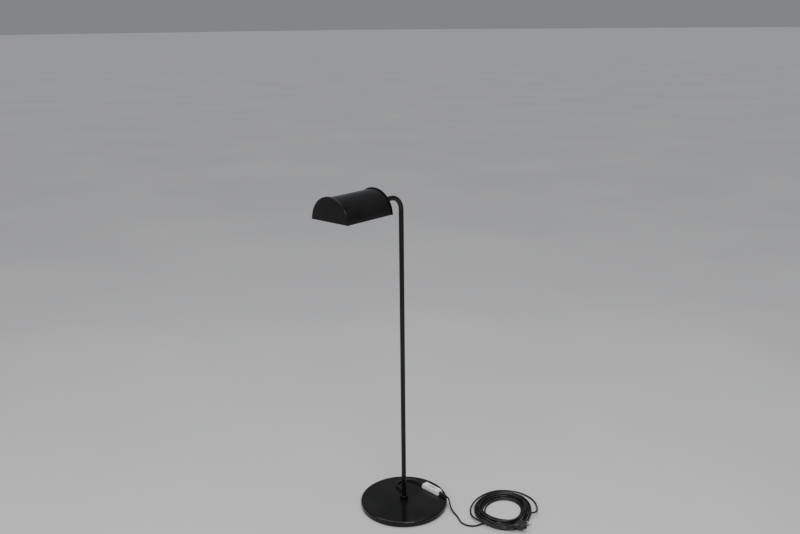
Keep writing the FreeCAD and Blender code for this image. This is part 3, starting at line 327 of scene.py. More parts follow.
class Surface:
    """A material whose colour, roughness and relief vary over the surface."""

    def __init__(self, name, colour, roughness, metallic=0.0, **sockets):
        self.made = bpy.data.materials.new(name)
        self.made.use_nodes = True
        self.tree = self.made.node_tree
        self.shader = self.tree.nodes["Principled BSDF"]
        self.place = self.tree.nodes.new("ShaderNodeTexCoord")
        self.shader.inputs["Metallic"].default_value = metallic
        self.shader.inputs["Roughness"].default_value = roughness
        self.roughness = roughness
        for socket, value in sockets.items():
            self.shader.inputs[socket.replace("_", " ")].default_value = value
        self.colour = self.tree.nodes.new("ShaderNodeRGB").outputs[0]
        self.colour.default_value = (*colour, 1)
        self.normal = None

    def link(self, output, target):
        self.tree.links.new(output, target)

    def noise(self, scale, detail=3.0, stretch=(1, 1, 1), offset=0.0):
        """A noise pattern with features of about 1 / scale metres."""
        mapping = self.tree.nodes.new("ShaderNodeMapping")
        mapping.inputs["Scale"].default_value = stretch
        mapping.inputs["Location"].default_value = (offset, offset, offset)
        self.link(self.place.outputs["Object"], mapping.inputs["Vector"])
        texture = self.tree.nodes.new("ShaderNodeTexNoise")
        texture.inputs["Scale"].default_value = scale
        texture.inputs["Detail"].default_value = detail
        self.link(mapping.outputs["Vector"], texture.inputs["Vector"])
        return texture.outputs["Fac"]

    def ramp(self, value, low, high, bottom=0.0, top=1.0):
        """value from low to high becomes bottom to top."""
        limits = self.tree.nodes.new("ShaderNodeMapRange")
        self.link(value, limits.inputs["Value"])
        for socket, number in (("From Min", low), ("From Max", high),
                               ("To Min", bottom), ("To Max", top)):
            limits.inputs[socket].default_value = number
        return limits.outputs["Result"]

    def multiply(self, one, other):
        product = self.tree.nodes.new("ShaderNodeMath")
        product.operation = "MULTIPLY"
        for socket, value in zip(product.inputs, (one, other)):
            if isinstance(value, float):
                socket.default_value = value
            else:
                self.link(value, socket)
        return product.outputs[0]

    def tint(self, colour, share):
        """Mix a colour in where share is high."""
        mix = self.tree.nodes.new("ShaderNodeMix")
        mix.data_type = "RGBA"
        self.link(share, mix.inputs["Factor"])
        self.link(self.colour, mix.inputs[COLOUR_A])
        mix.inputs[COLOUR_B].default_value = (*colour, 1)
        self.colour = mix.outputs[COLOUR_RESULT]
        return self

    def patches(self, colour, scale, amount=1.0):
        """Soft cloudy patches of another colour."""
        return self.tint(colour, self.ramp(self.noise(scale), 0.42, 0.68, 0, amount))

    def dust(self, colour, amount):
        """A thin film on the faces that look up, thicker in places."""
        split = self.tree.nodes.new("ShaderNodeSeparateXYZ")
        self.link(self.place.outputs["Normal"], split.inputs[0])
        upward = self.ramp(split.outputs["Z"], 0.3, 1.0)
        patchy = self.ramp(self.noise(23.0, detail=6.0, offset=3.0), 0.35, 0.75, 0.25, 1.0)
        return self.tint(colour, self.multiply(self.multiply(upward, patchy), amount))

    def edge_wear_and_highlight(self, colour, width, amount):
        """Lighter edges, where the rounded normal leaves the true one: rub wear, and on the black enamel also a
        painted highlight.
        """
        rounded = self.tree.nodes.new("ShaderNodeBevel")
        rounded.samples = 4
        rounded.inputs["Radius"].default_value = width
        true = self.tree.nodes.new("ShaderNodeNewGeometry")
        agreement = self.tree.nodes.new("ShaderNodeVectorMath")
        agreement.operation = "DOT_PRODUCT"
        self.link(rounded.outputs["Normal"], agreement.inputs[0])
        self.link(true.outputs["Normal"], agreement.inputs[1])
        edge = self.ramp(agreement.outputs["Value"], 0.97, 0.80)
        broken = self.ramp(self.noise(160.0, detail=5.0, offset=7.0), 0.45, 0.65)
        return self.tint(colour, self.multiply(self.multiply(edge, broken), amount))

    def uneven_gloss(self, scale, spread, stretch=(1, 1, 1)):
        """Roughness that wanders by this spread either way."""
        pattern = self.noise(scale, detail=5.0, stretch=stretch, offset=1.0)
        low, high = max(0.02, self.roughness - spread), self.roughness + spread
        self.link(self.ramp(pattern, 0.3, 0.7, low, high), self.shader.inputs["Roughness"])
        return self

    def relief(self, scale, height, detail=2.0, stretch=(1, 1, 1)):
        """Bumps of this height in metres; several calls add up."""
        return self.bump(self.noise(scale, detail=detail, stretch=stretch, offset=5.0), height)

    def bump(self, pattern, height):
        """Raise the surface where the pattern is high, on top of any relief so far."""
        bump = self.tree.nodes.new("ShaderNodeBump")
        bump.inputs["Distance"].default_value = height
        self.link(pattern, bump.inputs["Height"])
        if self.normal:
            self.link(self.normal, bump.inputs["Normal"])
        self.normal = bump.outputs["Normal"]
        return self

    def pores(self, scale, height):
        """Small sharp cells, for felt, fibre and spark-eroded plastic."""
        cells = self.tree.nodes.new("ShaderNodeTexVoronoi")
        cells.inputs["Scale"].default_value = scale
        self.link(self.place.outputs["Object"], cells.inputs["Vector"])
        return self.bump(cells.outputs["Distance"], height)

    def done(self):
        """Connect what was built up and hand over the material."""
        self.link(self.colour, self.shader.inputs["Base Color"])
        if self.normal:
            self.link(self.normal, self.shader.inputs["Normal"])
        return self.made


def black_enamel():
    """Stoved gloss black with a fine orange peel, a film of dust, and a painted highlight along its edges with a
    little rub wear.
    """
    return (Surface("black_enamel", (0.0032, 0.0032, 0.0036), 0.17,
                    Specular_IOR_Level=0.26, Coat_Weight=0.10, Coat_Roughness=0.06)
            .patches((0.008, 0.008, 0.0085), 9.0)
            .dust((0.10, 0.098, 0.092), 0.035)
            # Painted highlight along the edges, mixed with a little rub wear.
            .edge_wear_and_highlight((0.05, 0.048, 0.045), 0.0006, 0.5)
            .uneven_gloss(14.0, 0.05)
            .relief(420.0, 0.000012).relief(35.0, 0.00002).done())


def white_enamel():
    """Satin white, a little yellowed by heat."""
    return (Surface("white_enamel", (0.83, 0.82, 0.78), 0.32,
                    Coat_Weight=0.2, Coat_Roughness=0.2)
            .patches((0.78, 0.73, 0.60), 16.0, 0.7)
            .patches((0.70, 0.68, 0.62), 90.0, 0.25)
            .uneven_gloss(30.0, 0.08).relief(500.0, 0.00001).done())


def felt():
    return (Surface("felt", (0.016, 0.016, 0.018), 0.97, Sheen_Weight=0.6, Sheen_Roughness=0.5)
            .patches((0.05, 0.05, 0.052), 700.0, 0.6)
            .patches((0.028, 0.027, 0.027), 60.0)
            .pores(1500.0, 0.0003).relief(900.0, 0.0004, 5.0, (1, 1, 0.3)).done())


def steel():
    """Turned steel: fine rings round the part, a slightly oily tint."""
    return (Surface("steel", (0.50, 0.50, 0.51), 0.30, 1.0, Anisotropic=0.4)
            .patches((0.40, 0.38, 0.35), 150.0, 0.6)
            .uneven_gloss(900.0, 0.08, (4, 1, 1)).relief(2500.0, 0.00001, 2.0, (5, 1, 1)).done())


def zinc():
    return (Surface("zinc_screws", (0.66, 0.67, 0.66), 0.26, 1.0)
            .patches((0.60, 0.58, 0.46), 300.0, 0.8)
            .uneven_gloss(500.0, 0.1).relief(1800.0, 0.00001).done())


def black_oxide():
    return (Surface("black_screws", (0.02, 0.02, 0.021), 0.36, 0.5)
            .patches((0.045, 0.04, 0.036), 400.0, 0.7)
            .edge_wear_and_highlight((0.2, 0.19, 0.18), 0.0003, 0.6)
            .uneven_gloss(600.0, 0.1).relief(1500.0, 0.00002).done())


def fibre():
    return (Surface("friction_fibre", (0.035, 0.028, 0.024), 0.8)
            .patches((0.08, 0.06, 0.045), 900.0, 0.8)
            .pores(2500.0, 0.00005).relief(1200.0, 0.00005, 4.0).done())


def acetal():
    return (Surface("acetal", (0.012, 0.012, 0.013), 0.42)
            .patches((0.02, 0.02, 0.02), 120.0).uneven_gloss(80.0, 0.06)
            .relief(1600.0, 0.00001).done())


def rubber(name, colour, lighter, roughness):
    """Soft moulded PVC: fine matt grain, greyer where it is handled."""
    return (Surface(name, colour, roughness, Specular_IOR_Level=0.4)
            .patches(lighter, 60.0, 0.8)
            .dust((0.09, 0.088, 0.082), 0.10)
            .uneven_gloss(70.0, 0.08)
            .relief(1300.0, 0.00003, 3.0).done())


def cord_sheath():
    """Extruded PVC: smooth, with long faint waves, scuffs and dust."""
    return (Surface("cord_pvc", (0.006, 0.006, 0.0065), 0.38, Specular_IOR_Level=0.40)
            .patches((0.014, 0.0135, 0.013), 45.0)
            .patches((0.03, 0.029, 0.028), 260.0, 0.25)
            .dust((0.08, 0.078, 0.072), 0.08)
            .uneven_gloss(110.0, 0.09)
            .relief(140.0, 0.00006).relief(1500.0, 0.000015).done())


def phenolic():
    return (Surface("phenolic", (0.011, 0.009, 0.008), 0.2,
                    Coat_Weight=0.3, Coat_Roughness=0.1)
            .patches((0.03, 0.018, 0.012), 70.0, 0.7)
            .uneven_gloss(50.0, 0.06).relief(800.0, 0.000015).done())


def ceramic():
    return (Surface("ceramic", (0.80, 0.77, 0.70), 0.15, Coat_Weight=0.5, Coat_Roughness=0.05)
            .patches((0.72, 0.66, 0.55), 120.0, 0.7).relief(300.0, 0.00003).done())


def brass():
    return (Surface("brass", (0.72, 0.55, 0.26), 0.24, 1.0)
            .patches((0.48, 0.33, 0.15), 110.0, 0.8)
            .uneven_gloss(240.0, 0.09).relief(1500.0, 0.00001).done())


def frosted_glass():
    """Clear glass with an inner frosting: soft, faintly warm."""
    return (Surface("bulb_glass", (0.94, 0.94, 0.92), 0.62,
                    Transmission_Weight=0.35, IOR=1.5, Coat_Weight=0.6, Coat_Roughness=0.06)
            .patches((0.90, 0.88, 0.82), 40.0, 0.6).uneven_gloss(90.0, 0.05)
            .relief(35.0, 0.00002).done())


def tungsten():
    return (Surface("tungsten", (0.32, 0.32, 0.33), 0.45, 1.0)
            .patches((0.2, 0.19, 0.18), 800.0).uneven_gloss(800.0, 0.1)
            .relief(3000.0, 0.00002).done())


def moulded(name, colour, darker, roughness):
    """Pale moulded plastic with a fine spark-eroded texture and handling marks."""
    return (Surface(name, colour, roughness, Subsurface_Weight=0.05,
                    Subsurface_Radius=(0.002, 0.002, 0.0015))
            .patches(darker, 55.0, 0.35)
            .patches(darker, 500.0, 0.2)
            .uneven_gloss(120.0, 0.07)
            .pores(3200.0, 0.00002).relief(1400.0, 0.00001).done())


def circuit():
    return (Surface("circuit", (0.006, 0.022, 0.010), 0.4, Coat_Weight=0.3, Coat_Roughness=0.2)
            .patches((0.012, 0.038, 0.016), 260.0).patches((0.20, 0.13, 0.06), 700.0, 0.3)
            .relief(900.0, 0.00003).done())


def plug_plastic():
    return (Surface("plug_plastic", (0.009, 0.009, 0.0095), 0.36, Specular_IOR_Level=0.45)
            .patches((0.02, 0.02, 0.02), 50.0)
            .dust((0.09, 0.088, 0.08), 0.08)
            .edge_wear_and_highlight((0.06, 0.06, 0.058), 0.0005, 0.4)
            .uneven_gloss(90.0, 0.08).pores(2600.0, 0.00002).done())


def nickel():
    return (Surface("nickel", (0.66, 0.62, 0.55), 0.2, 1.0)
            .patches((0.5, 0.44, 0.34), 260.0, 0.6)
            .uneven_gloss(300.0, 0.1, (1, 6, 1)).relief(1600.0, 0.00001).done())


MATERIALS = {
    "black_enamel": black_enamel(),
    "white_enamel": white_enamel(),
    "felt": felt(),
    "steel": steel(),
    "zinc_screws": zinc(),
    "black_screws": black_oxide(),
    "friction_fibre": fibre(),
    "acetal": acetal(),
    "black_rubber": rubber("black_rubber", (0.01, 0.01, 0.0105), (0.02, 0.0195, 0.019), 0.55),
    "cord_pvc": cord_sheath(),
    "phenolic": phenolic(),
    "ceramic": ceramic(),
    "brass": brass(),
    "bulb_glass": frosted_glass(),
    "tungsten": tungsten(),
    "dimmer_white": moulded("dimmer_white", (0.80, 0.80, 0.78), (0.70, 0.69, 0.65), 0.42),
    "dimmer_grey": moulded("dimmer_grey", (0.52, 0.53, 0.54), (0.42, 0.42, 0.42), 0.38),
    "circuit": circuit(),
    "plug_plastic": plug_plastic(),
    "nickel": nickel(),
}


# --- mesh building ----------------------------------------------------------------------------

def joint(name):
    """The frame's entry for a joint."""
    return next(entry for entry in frame["joints"] if entry["name"] == name)


# From the arm's own frame, outwards along local X, to the lamp's.
ARM_HEIGHT = joint("shade_tilt")["pos_m"][2]
ALONG_ARM = Matrix.Translation((0, 0, ARM_HEIGHT)) @ Matrix.Rotation(math.pi, 4, "Z")
MERGE_DISTANCE = 0.001 * MM


def add_mesh(name, vertices, faces, place, body, slot, replaced, sharp=40):
    """A smooth-shaded piece from points in mm, put in place, that stands for a CAD node."""
    mesh = bpy.data.meshes.new(name)
    mesh.from_pydata([place @ (Vector(vertex) * MM) for vertex in vertices], [], faces)
    tidy = bmesh.new()
    tidy.from_mesh(mesh)
    bmesh.ops.remove_doubles(tidy, verts=tidy.verts, dist=MERGE_DISTANCE)
    bmesh.ops.recalc_face_normals(tidy, faces=tidy.faces)
    tidy.to_mesh(mesh)
    tidy.free()
    mesh.shade_smooth()
    mesh.set_sharp_from_angle(angle=math.radians(sharp))
    mesh.materials.append(MATERIALS[slot])
    piece = bpy.data.objects.new(name, mesh)
    bpy.context.scene.collection.objects.link(piece)
    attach(piece, body)
    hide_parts(replaced)
    return piece


def round_edges(piece, width, limit=35):
    """Small true radii on a piece's sharp edges: width in mm, limit in degrees."""
    bevel = piece.modifiers.new("edges", "BEVEL")
    bevel.width = width * MM
    bevel.segments = 2
    bevel.limit_method = "ANGLE"
    bevel.angle_limit = math.radians(limit)


def loft(rings, wrap=False):
    """Points and faces of a skin through rings of equal counts, capped unless it wraps round."""
    count = len(rings[0])
    vertices = [point for ring in rings for point in ring]
    faces = []
    for row in range(len(rings) if wrap else len(rings) - 1):
        here = row * count
        there = (row + 1) % len(rings) * count
        for i in range(count):
            j = (i + 1) % count
            faces.append((here + i, here + j, there + j, there + i))
    if not wrap:
        end = len(vertices)
        faces.append(tuple(range(count)))
        faces.append(tuple(range(end - count, end)))
    return vertices, faces


def join_shapes(shapes):
    """Several lofts as one set of points and faces."""
    vertices, faces = [], []
    for points, skin in shapes:
        start = len(vertices)
        vertices += points
        faces += [tuple(start + i for i in face) for face in skin]
    return vertices, faces


def ring_round(along, radius, count, shape=None):
    """A ring about the local X axis; shape(angle) may change the radius."""
    ring = []
    for i in range(count):
        angle = math.tau * i / count
        r = radius + (shape(angle) if shape else 0)
        ring.append((along, r * math.cos(angle), r * math.sin(angle)))
    return ring


def turned(profile, count):
    """A turned shape from (along, radius) corners."""
    return loft([ring_round(along, radius, count) for along, radius in profile])


def hexagon(along, flats, count):
    """A ring that follows a hexagon, measured across its flats."""
    ring = []
    for i in range(count):
        angle = math.tau * i / count
        off = (angle + math.pi / 6) % (math.pi / 3) - math.pi / 6
        r = flats / 2 / math.cos(off)
        ring.append((along, r * math.cos(angle), r * math.sin(angle)))
    return ring


# The four quarters of a rectangle, anticlockwise.
QUARTERS = ((1, 1), (-1, 1), (-1, -1), (1, -1))


def rectangle_ring(half_x, half_y, corner, height, per_corner=7):
    """A rounded rectangle at a height, anticlockwise."""
    ring = []
    for quarter, (side_x, side_y) in enumerate(QUARTERS):
        for step in range(per_corner):
            angle = math.pi / 2 * (quarter + step / (per_corner - 1))
            x = side_x * (half_x - corner) + corner * math.cos(angle)
            y = side_y * (half_y - corner) + corner * math.sin(angle)
            ring.append((x, y, height))
    return ring


# The chamfer's width and depth round a screw's socket, and the drilled point at its bottom.
SOCKET_CHAMFER = 0.25
SOCKET_CHAMFER_DEPTH = 0.15
DRILL_POINT = 0.3


def socket_head(radius, height, socket, depth, dome, count=48, dome_steps=5):
    """A domed screw head with a hexagon socket; the head's top is at local X = height."""
    rings = [ring_round(0, radius, count)]
    for step in range(dome_steps + 1):
        angle = math.pi / 2 * step / dome_steps
        rings.append(ring_round(height - dome + dome * math.sin(angle),
                                radius - dome * (1 - math.cos(angle)), count))
    floor = height - depth
    rings += [
        hexagon(height, socket + SOCKET_CHAMFER, count),
        hexagon(height - SOCKET_CHAMFER_DEPTH, socket, count),
        hexagon(floor, socket, count),
        ring_round(floor - DRILL_POINT, DRILL_POINT, count),
    ]
    return loft(rings)


# --- in-line dimmer ---------------------------------------------------------------------------

# Half its width and length, the height of its seam and of its top, and its corner radius, in mm.
DIMMER_HALF = Vector((12.5, 36))
DIMMER_SPLIT = 5
DIMMER_TOP = 14.5
DIMMER_CORNER = 2
# The tray from the outside in: how far each ring lies inside the case, corner radius and height.
TRAY_RINGS = [
    (1.2, DIMMER_CORNER - 0.6, 0),
    (0.4, DIMMER_CORNER - 0.2, 0.35),
    (0, DIMMER_CORNER, 1.2),
    (0, DIMMER_CORNER, DIMMER_SPLIT - 0.5),
    (0.35, DIMMER_CORNER - 0.2, DIMMER_SPLIT - 0.05),
    (1.6, 1.6, DIMMER_SPLIT - 0.05),
    (1.6, 1.6, 1.6),
]
# The lid: its foot, listed as the tray is; the lean of its sides in degrees; its shoulder's radius
# with the small step below it; how far its cavity lies inside the case, with its corner radius.
LID_FOOT = [
    (0.35, DIMMER_CORNER - 0.2, DIMMER_SPLIT),
    (0, DIMMER_CORNER, DIMMER_SPLIT + 0.4),
]
LID_LEAN = 14
LID_SIDE_STEPS = 4
LID_SHOULDER = 1.4
LID_SHOULDER_STEPS = 5
LID_STEP = 0.2
LID_CAVITY = (4, 1.5)
# The sunk window in its top and the slot in that: half width, half length, corner radius and depth.
LID_WINDOW = [
    (5.9, 23.4, 1.9, 0),
    (5.5, 23, 1.5, 0.35),
    (5.5, 23, 1.5, 1),
    (2.0, 18.2, 1.7, 1),
    (1.8, 18, 1.5, 1.2),
    (1.8, 18, 1.5, 2.6),
]
# The thumb piece from its foot up: half width, half length, corner radius, height over the lid.
THUMB_RINGS = [
    (4, 6, 1, -5.4),
    (4, 6, 1, -3.6),
    (1.4, 5, 0.6, -3.6),
    (1.4, 5, 0.6, -0.7),
    (4.5, 5.7, 0.8, -0.7),
    (4.8, 6, 1, -0.4),
    (4.3, 5.5, 1, 1.6),
    (4, 5.2, 1, 1.9),
]
# Its grip ribs: how many, how far apart, half their length, and their section from the foot up as
# half width and height over the lid.
THUMB_RIBS = 5
THUMB_RIB_PITCH = 1.9
THUMB_RIB_HALF = 3.7
THUMB_RIB_SECTION = [(0.65, 1.6), (0.55, 2.2), (0.25, 2.45)]


def dimmer_place():
    """From the dimmer's own frame, length along Y, to the lamp's."""
    low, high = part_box("dimmer_base")
    slide = joint("dimmer_slide")
    turn = math.atan2(slide["axis"][1], slide["axis"][0]) - math.pi / 2
    middle = Vector(((low.x + high.x) / 2, (low.y + high.y) / 2, low.z))
    return Matrix.Translation(middle) @ Matrix.Rotation(turn, 4, "Z")


def dimmer_ring(inset, corner, height):
    """The dimmer's outline at a height, drawn in by the inset."""
    return rectangle_ring(DIMMER_HALF.x - inset, DIMMER_HALF.y - inset, corner, height)


def lid_rings():
    """The lid from its cavity round the outside to its slot."""
    lean = math.tan(math.radians(LID_LEAN))
    side = DIMMER_TOP - DIMMER_SPLIT - LID_SHOULDER
    rings = [dimmer_ring(*LID_CAVITY, DIMMER_SPLIT)]
    rings += [dimmer_ring(*ring) for ring in LID_FOOT]
    for step in range(1, LID_SIDE_STEPS + 1):
        height = side * step / LID_SIDE_STEPS
        rings.append(dimmer_ring(height * lean, DIMMER_CORNER, DIMMER_SPLIT + height))
    for step in range(1, LID_SHOULDER_STEPS + 1):
        angle = math.pi / 2 * step / LID_SHOULDER_STEPS
        inset = side * lean + LID_SHOULDER * (1 - math.cos(angle)) + LID_STEP
        rings.append(dimmer_ring(inset, DIMMER_CORNER - 0.3,
                                 DIMMER_TOP - LID_SHOULDER * (1 - math.sin(angle))))
    for half_x, half_y, corner, depth in LID_WINDOW:
        rings.append(rectangle_ring(half_x, half_y, corner, DIMMER_TOP - depth))
    rings.append(dimmer_ring(*LID_CAVITY, DIMMER_TOP - depth))
    return rings


def thumb_rib(index):
    """One grip rib across the thumb piece."""
    across = (index - (THUMB_RIBS - 1) / 2) * THUMB_RIB_PITCH
    rings = []
    for half_width, height in THUMB_RIB_SECTION:
        rings.append([(side_x * THUMB_RIB_HALF, across + side_y * half_width, DIMMER_TOP + height)
                      for side_x, side_y in QUARTERS])
    return loft(rings)


def make_dimmer():
    place = dimmer_place()
    tray = loft([dimmer_ring(*ring) for ring in TRAY_RINGS])
    add_mesh("dimmer_tray", *tray, place, "root", "dimmer_white", "dimmer_base")
    lid = loft(lid_rings(), wrap=True)
    add_mesh("dimmer_lid", *lid, place, "root", "dimmer_white", "dimmer_cover")
    shapes = [loft([rectangle_ring(half_x, half_y, corner, DIMMER_TOP + height)
                    for half_x, half_y, corner, height in THUMB_RINGS])]
    shapes += [thumb_rib(index) for index in range(THUMB_RIBS)]
    thumb = add_mesh("dimmer_thumb", *join_shapes(shapes), place, "slider", "dimmer_grey",
                     "dimmer_slider")
    round_edges(thumb, 0.15)


# The strain reliefs: the flange's radius on the dimmer and on the plug, how far the sleeve is drawn
# in from it, the thin end's radius, the flexing grooves with their depth and the least wall left,
# points round, edge radius, and the height of the dimmer's two over the bottom of its case.
BOOT_WIDE = 4.8
PLUG_BOOT_WIDE = 5.1
BOOT_STEP = 0.3
BOOT_NARROW = 3.7
BOOT_GROOVES = 6
GROOVE_DEPTH = 0.75
GROOVE_WALL = 0.35
BOOT_POINTS = 64
BOOT_EDGE = 0.12
DIMMER_BOOT_HEIGHT = 7


def boot_profile(length, wide):
    """A tapered sleeve with flexing grooves, from its flange to its thin end."""
    body = wide - BOOT_STEP
    profile = [(0, 0.5), (0, body), (0.3, wide), (1.8, wide), (2.1, body)]
    pitch = (length - 5) / BOOT_GROOVES
    for i in range(BOOT_GROOVES):
        start = 2.6 + i * pitch
        radius = body + (BOOT_NARROW - wide + BOOT_STEP) * (start - 2) / (length - 2)
        floor = max(CORD_HALF + GROOVE_WALL, radius - GROOVE_DEPTH)
        for along, r in (
            (0, floor),
            (0.3 * pitch, floor),
            (0.42 * pitch, radius),
            (0.88 * pitch, radius - 0.05),
            (0.97 * pitch, floor),
        ):
            profile.append((start + along, r))
    return profile + [
        (length - 2.2, BOOT_NARROW),
        (length - 0.5, BOOT_NARROW),
        (length, BOOT_NARROW - 0.4),
        (length, CORD_HALF - 0.2),
    ]


def make_boot(name, node, place, wide):
    sleeve = add_mesh(name, *turned(boot_profile(BOOT_LENGTH, wide), BOOT_POINTS), place, "root",
                      "black_rubber", node)
    round_edges(sleeve, BOOT_EDGE)


def make_dimmer_boots():
    lifted = dimmer_place() @ Matrix.Translation((0, 0, DIMMER_BOOT_HEIGHT * MM))
    reach = Matrix.Translation((DIMMER_HALF.y * MM, 0, 0))
    ends = (("boot_feed_side", "boot_in", 90), ("boot_lead_side", "boot_out", -90))
    for name, node, turn in ends:
        along = Matrix.Rotation(math.radians(turn), 4, "Z")
        make_boot(name, node, lifted @ along @ reach, BOOT_WIDE)


# --- plug -------------------------------------------------------------------------------------

# The plug's sections from the cord's end: along, half width, half height and corner radius, in mm.
PLUG_NECK = [
    (-PLUG_HALF, 5.4, 5.2, 4.2),
    (-17.4, 6.0, 5.8, 4.8),
    (-12, 7.6, 6.6, 5.2),
]
# How much each of these grows from the neck to the full size, in how many steps.
PLUG_GROWTH = (15, 9.6, 0.35, -2)
PLUG_GROWTH_STEPS = 6
# One grip groove between its two ribs: distance from the start, and the rest as above.
PLUG_RIB = [
    (0, 17.3, 6.95, 3.2),
    (0.35, 16.7, 6.75, 3.0),
    (0.85, 16.7, 6.75, 3.0),
    (1.2, 17.3, 6.95, 3.2),
]
PLUG_RIBS = 5
PLUG_RIB_START = 4.2
PLUG_RIB_PITCH = 1.9
PLUG_FACE = [
    (14.4, 17.4, 6.98, 3.0),
    (17.3, 17.4, 6.98, 3.0),
    (17.85, 16.9, 6.5, 2.7),
    (PLUG_HALF, 16.2, 5.8, 2.2),
]
# Each pin: distance from the middle, where its sleeve ends, points round, and the sleeve's and the
# bare pin's profiles as distance from the plug's face and radius.
PIN_OFFSET = 9.3
PIN_SLEEVE_END = 10.1
PIN_POINTS = 40
PIN_SLEEVE = [(-9, 1.95), (10, 1.95), (10.2, 1.8)]
PIN_METAL = [(10.15, 1.75), (10.25, 1.98), (17.4, 1.98), (18.4, 1.6), (18.9, 0.9), (19, 0.3)]


def section(along, half_width, half_height, corner, per_corner=9):
    """A rounded rectangle across the local X axis."""
    flat = rectangle_ring(half_width, half_height, corner, 0, per_corner)
    return [(along, y, z) for y, z, _ in flat]


def plug_sections():
    sections = [section(*numbers) for numbers in PLUG_NECK]
    along, half_width, half_height, corner = PLUG_NECK[-1]
    longer, wider, higher, rounder = PLUG_GROWTH
    for step in range(1, PLUG_GROWTH_STEPS + 1):
        share = step / PLUG_GROWTH_STEPS
        sections.append(section(along + longer * share, half_width + wider * smooth(share),
                                half_height + higher * share, corner + rounder * share))
    for rib in range(PLUG_RIBS):
        start = PLUG_RIB_START + rib * PLUG_RIB_PITCH
        sections += [section(start + ahead, *numbers) for ahead, *numbers in PLUG_RIB]
    return sections + [section(*numbers) for numbers in PLUG_FACE]


def make_plug():
    place = plug_place()
    shell = add_mesh("plug_shell", *loft(plug_sections()), place, "root", "plug_plastic",
                     "plug_body", sharp=30)
    round_edges(shell, 0.2, 40)

    pins = []
    for side in (-1, 1):
        for profile in (PIN_SLEEVE, PIN_METAL):
            points, faces = turned(profile, PIN_POINTS)
            placed = [(x + PLUG_HALF, y + side * PIN_OFFSET, z) for x, y, z in points]
            pins.append((placed, faces))
    prongs = add_mesh("plug_prongs", *join_shapes(pins), place, "root", "nickel", "plug_pins")
    prongs.data.materials.append(MATERIALS["plug_plastic"])
    inverse = place.inverted()
    for face in prongs.data.polygons:
        if (inverse @ face.center).x < (PLUG_HALF + PIN_SLEEVE_END) * MM:
            face.material_index = 1

    behind = Matrix.Translation((-PLUG_HALF * MM, 0, 0)) @ Matrix.Rotation(math.pi, 4, "Z")
    make_boot("plug_sleeve", "plug_boot", place @ behind, PLUG_BOOT_WIDE)


# --- gland, foot and screws -------------------------------------------------------------------

def tube_along(points, radii, count=48):
    """A round skin along points in mm, with a radius at each."""
    rings = []
    side = Vector((0, 0, 1)).cross(points[-1] - points[0]).normalized()
    for i, (point, radius) in enumerate(zip(points, radii)):
        ahead = points[min(i + 1, len(points) - 1)] - points[max(i - 1, 0)]
        over = side.cross(ahead).normalized()
        rings.append([point + radius * (math.cos(a) * side + math.sin(a) * over)
                      for a in (math.tau * k / count for k in range(count))])
    return loft(rings)


# The gland's middle on the base in mm, its stem's radius and depth in the base, its flange and dome
# as height and radius, how far its elbow's centre lies over the base, and the elbow's first radius
# and steps.
GLAND_X, GLAND_Y = 27.0, 15.5
GLAND_STEM = 5.4
GLAND_DEPTH = 4
GLAND_FLANGE = [(0.05, 7.0), (0.55, 7.3), (1.25, 7.2), (1.65, 6.6), (1.85, 5.9)]
GLAND_RISE = 1.5
GLAND_ELBOW = 5.9
GLAND_ELBOW_STEPS = 12


def make_gland():
    """A moulded rubber elbow: flange and dome on the base, a bend, a ribbed taper."""
    _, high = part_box("base_plate")
    base_top = high.z / MM
    foot = Vector((GLAND_X, GLAND_Y, base_top))
    tip = Vector(FEED_ROUTE[0])
    heading = Vector((tip.x - foot.x, tip.y - foot.y, 0)).normalized()
    up = Vector((0, 0, 1))
    points = [foot - up * GLAND_DEPTH, foot - up * 0.4]
    radii = [GLAND_STEM, GLAND_STEM]
    for rise, radius in GLAND_FLANGE:
        points.append(foot + up * rise)
        radii.append(radius)
    bend = tip.z - base_top - GLAND_RISE
    centre = foot + heading * bend + up * GLAND_RISE
    for step in range(1, GLAND_ELBOW_STEPS + 1):
        share = step / GLAND_ELBOW_STEPS
        angle = math.pi / 2 * share
        points.append(centre - heading * bend * math.cos(angle) + up * bend * math.sin(angle))
        radii.append(GLAND_ELBOW + (GLAND_STEM - GLAND_ELBOW) * share)
    start = points[-1]
    # The taper's own flange is left out: the elbow runs straight into it.
    for along, radius in boot_profile((tip - start).length, GLAND_STEM)[5:]:
        points.append(start + heading * along)
        radii.append(radius)
    add_mesh("gland_elbow", *tube_along(points, radii), Matrix.Identity(4), "root", "black_rubber",
             "cord_gland", sharp=50)


# The two kinds of screw head: radius, height, socket across its flats, its depth and the dome.
GRUB_HEAD = (2.4, 3.0, 2.0, 2.2, 0.35)
SHADE_HEAD = (2.9, 1.85, 2.5, 1.3, 0.9)
# How far each head's seat lies behind the CAD node's front.
GRUB_SEAT = 3.2
SHADE_SEAT = 1.9


def make_screws():
    low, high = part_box("collar_screw")
    middle = (low + high) / 2
    head = Matrix.Translation((high.x - GRUB_SEAT * MM, middle.y, middle.z))
    add_mesh("collar_grub", *socket_head(*GRUB_HEAD), head, "stem", "black_screws", "collar_screw")

    low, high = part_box("tie_screws")
    reach = SHADE_HEAD[0] * MM
    shapes = []
    for side in (low.y + reach, high.y - reach):
        points, faces = socket_head(*SHADE_HEAD)
        shapes.append(([(x, y + side / MM, z) for x, y, z in points], faces))
    place = Matrix.Translation((high.x - SHADE_SEAT * MM, 0, (low.z + high.z) / 2))
    add_mesh("shade_screws", *join_shapes(shapes), place, "shade", "black_screws", "tie_screws")


def arm_span(node):
    """Where a node on the arm starts and ends, in mm along it."""
    low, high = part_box(node)
    return -high.x / MM, -low.x / MM


# The nut across its flats, how far its corners reach past them, along it and at its chamfered ends,
# its chamfer, its bore's radius and the bore's mouth, and its points round.
NUT_FLATS = 17
NUT_CORNER = 1.25
NUT_END_CORNER = 0.37
NUT_CHAMFER = 0.6
NUT_BORE = 5.02
NUT_MOUTH = 5.4
NUT_POINTS = 96


